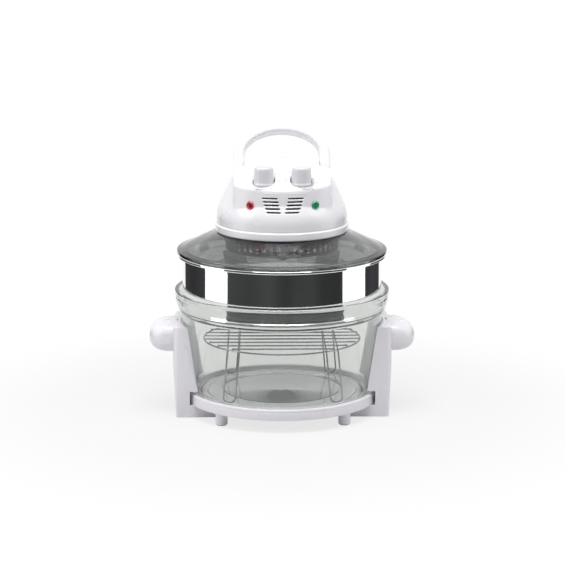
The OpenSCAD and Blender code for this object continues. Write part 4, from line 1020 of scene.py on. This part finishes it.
FINISH = {
    WHITE: ["base_tray", "tray_feet", "left_arm", "right_arm", "left_grip", "right_grip"],
    WHITE_HEAD: ["head_base", "head_shell", "bail_handle"],
    WHITE_IN: ["left_arm_cover", "right_arm_cover", "cooling_fan"],
    KNOB: ["timer_knob", "thermostat_knob"],
    PLATE: ["dial_plates"],
    RUBBER: ["foot_pads"],
    GASKET: ["upper_gasket", "lower_gasket"],
    SOCKET: ["inlet_socket", "safety_switch"],
    MICA: ["insulation_disc"],
    CERAMIC: ["tube_holders"],
    PHENOLIC: ["thermostat_body"],
    GREY_CASE: ["timer_body"],
    RED_PART: ["switch_plunger", "handle_cam"],
    STEEL: ["extension_ring", "ring_flange"],
    WIRE: ["guard_grille", "rack_ring", "rack_bars", "rack_rails", "rack_legs"],
    PAN: ["heater_pan", "convection_fan"],
    ZINC: ["arm_screws", "clamp_screws", "guard_clips", "head_screws", "motor_plate", "motor_posts",
           "motor_bridge", "fan_nut", "control_nuts", "inlet_screws", "pivot_pins", "fan_shaft", "timer_stem",
           "thermostat_stem", "inlet_pins"],
    LAMINATE: ["motor_stator", "motor_rotor"],
    COPPER: ["motor_coil"],
    BRONZE: ["motor_bushes"],
    BOWL_GLASS: ["glass_bowl"],
    LID_GLASS_PAINTED_SHADE: ["glass_lid"],
    QUARTZ: ["halogen_tube"],
    RED: ["red_lamp", "lamp_bulbs"],
    GREEN: ["green_lamp"],
}
dressed = set()
for finish, names in FINISH.items():
    for n in names:
        dressed.add(n)
        me = NODES[n].data
        me.materials.clear()
        me.materials.append(finish)
        me.polygons.foreach_set("use_smooth", [True] * len(me.polygons))
        me.set_sharp_from_angle(angle=math.radians(30))
assert dressed == set(NODES), sorted(set(NODES) ^ dressed)


# ---------------------------------------------------------------- camera, floor and light

def look_at(ob, target):
    d = Vector(target) - ob.location
    ob.rotation_euler = d.to_track_quat("-Z", "Y").to_euler()


cam = bpy.data.cameras.new("camera")
cam.lens = 140.2
cam.sensor_width = 36
cam.clip_end = 50
camera = bpy.data.objects.new("camera", cam)
scene.collection.objects.link(camera)
AZ = math.radians(-1.0)
CAM_DIST, CAM_UP, AIM_Z = 3.42, 0.735, 0.2055   # metres, as in all of this section
camera.location = (CAM_DIST * math.sin(AZ), -CAM_DIST * math.cos(AZ), AIM_Z + CAM_UP)
look_at(camera, (0.001, 0, AIM_Z))
scene.camera = camera
scene.view_settings.view_transform = "Standard"


def screen(name, start, end, high, one, two, through=False):
    """A curved studio screen round the oven, angles from its front: only reflections see it."""
    verts, steps, radius = [], 24, 0.75
    for i in range(steps + 1):
        a = math.radians(start + (end - start) * i / steps)
        verts += [(radius * math.sin(a), -radius * math.cos(a), z) for z in (0, high)]
    me = bpy.data.meshes.new(name)
    me.from_pydata(verts, [], [(2 * i, 2 * i + 1, 2 * i + 3, 2 * i + 2) for i in range(steps)])
    ob = bpy.data.objects.new(name, me)
    scene.collection.objects.link(ob)
    mat = bpy.data.materials.new(name)
    mat.use_nodes = True
    nt = mat.node_tree
    nt.nodes.clear()
    out = nt.nodes.new("ShaderNodeOutputMaterial")
    em = nt.nodes.new("ShaderNodeEmission")
    nt.links.new(cloudy(nt, 2.2, 1, one, two), em.inputs["Color"])
    em.inputs["Strength"].default_value = 1.0
    nt.links.new(em.outputs[0], out.inputs[0])
    me.materials.append(mat)
    ob.visible_camera = False
    ob.visible_diffuse = False
    ob.visible_shadow = False
    ob.visible_transmission = through


def area(name, loc, size, power):
    li = bpy.data.lights.new(name, "AREA")
    li.shape = "RECTANGLE"
    li.size, li.size_y = size
    li.energy = power
    ob = bpy.data.objects.new(name, li)
    scene.collection.objects.link(ob)
    ob.location = loc
    look_at(ob, (0, 0, 0.2))


def looked_at(nt):
    """1 for rays that lead to the eye: straight, mirrored or through glass."""
    path = nt.nodes.new("ShaderNodeLightPath").outputs
    indirect = maths(nt, "MAXIMUM", path["Is Glossy Ray"], path["Is Transmission Ray"])
    return maths(nt, "MAXIMUM", path["Is Camera Ray"], indirect)


def add_floor():
    """A pale floor that takes the oven's shadow and turns pure white where the backdrop begins."""
    me = bpy.data.meshes.new("floor")
    me.from_pydata([(-9, -6, 0), (9, -6, 0), (9, 24, 0), (-9, 24, 0)], [], [(0, 1, 2, 3)])
    floor = bpy.data.objects.new("floor", me)
    scene.collection.objects.link(floor)
    mat = bpy.data.materials.new("floor")
    mat.use_nodes = True
    nt = mat.node_tree
    bsdf = nt.nodes["Principled BSDF"]
    bsdf.inputs["Base Color"].default_value = (0.62, 0.62, 0.62, 1)
    bsdf.inputs["Roughness"].default_value = 0.95
    bsdf.inputs["Specular IOR Level"].default_value = 0.1
    white = nt.nodes.new("ShaderNodeEmission")
    white.inputs["Strength"].default_value = 1.0
    tc = nt.nodes.new("ShaderNodeTexCoord")
    length = nt.nodes.new("ShaderNodeVectorMath")
    length.operation = "LENGTH"
    nt.links.new(tc.outputs["Object"], length.inputs[0])
    fade = nt.nodes.new("ShaderNodeMapRange")
    fade.interpolation_type = "SMOOTHSTEP"
    fade.inputs["From Min"].default_value = 0.28
    fade.inputs["From Max"].default_value = 0.62
    fade.inputs["To Min"].default_value = 0.75
    fade.inputs["To Max"].default_value = 1.0
    nt.links.new(length.outputs["Value"], fade.inputs["Value"])
    amount = maths(nt, "MULTIPLY", fade.outputs[0], looked_at(nt))
    mixed(nt, amount, bsdf, white, nt.nodes["Material Output"])
    me.materials.append(mat)


def add_world(level, tint):
    """A dim tinted surround that lights the oven, and is pure white to the eye."""
    world = bpy.data.worlds.new("studio")
    scene.world = world
    world.use_nodes = True
    nt = world.node_tree
    nt.nodes.clear()
    out = nt.nodes.new("ShaderNodeOutputWorld")
    light = nt.nodes.new("ShaderNodeBackground")
    light.inputs["Color"].default_value = (*tint, 1)
    light.inputs["Strength"].default_value = level
    seen = nt.nodes.new("ShaderNodeBackground")
    seen.inputs["Color"].default_value = (1, 1, 1, 1)
    seen.inputs["Strength"].default_value = 1.0
    mixed(nt, looked_at(nt), light, seen, out)


add_floor()
add_world(0.31, (0.97, 0.96, 1.0))
screen("front_screen", -60, 66, 0.5, (0.055, 0.06, 0.055), (0.03, 0.032, 0.032), through=True)
screen("left_dark_screen", -140, -91, 0.24, (0.05, 0.05, 0.055), (0.03, 0.03, 0.033))
screen("right_dark_screen", 101, 140, 0.24, (0.05, 0.05, 0.055), (0.03, 0.03, 0.033))
screen("left_bright_screen", -91, -60, 0.5, (1.6, 1.6, 1.62), (1.3, 1.3, 1.32))
screen("right_bright_screen", 66, 101, 0.5, (1.6, 1.6, 1.62), (1.3, 1.3, 1.32))
area("top_light", (0, -0.6, 2.6), (1.8, 1.4), 62)
area("left_light", (-2.0, -0.7, 1.0), (1.2, 1.2), 15)
area("right_light", (2.0, -0.7, 1.0), (1.2, 1.2), 9)
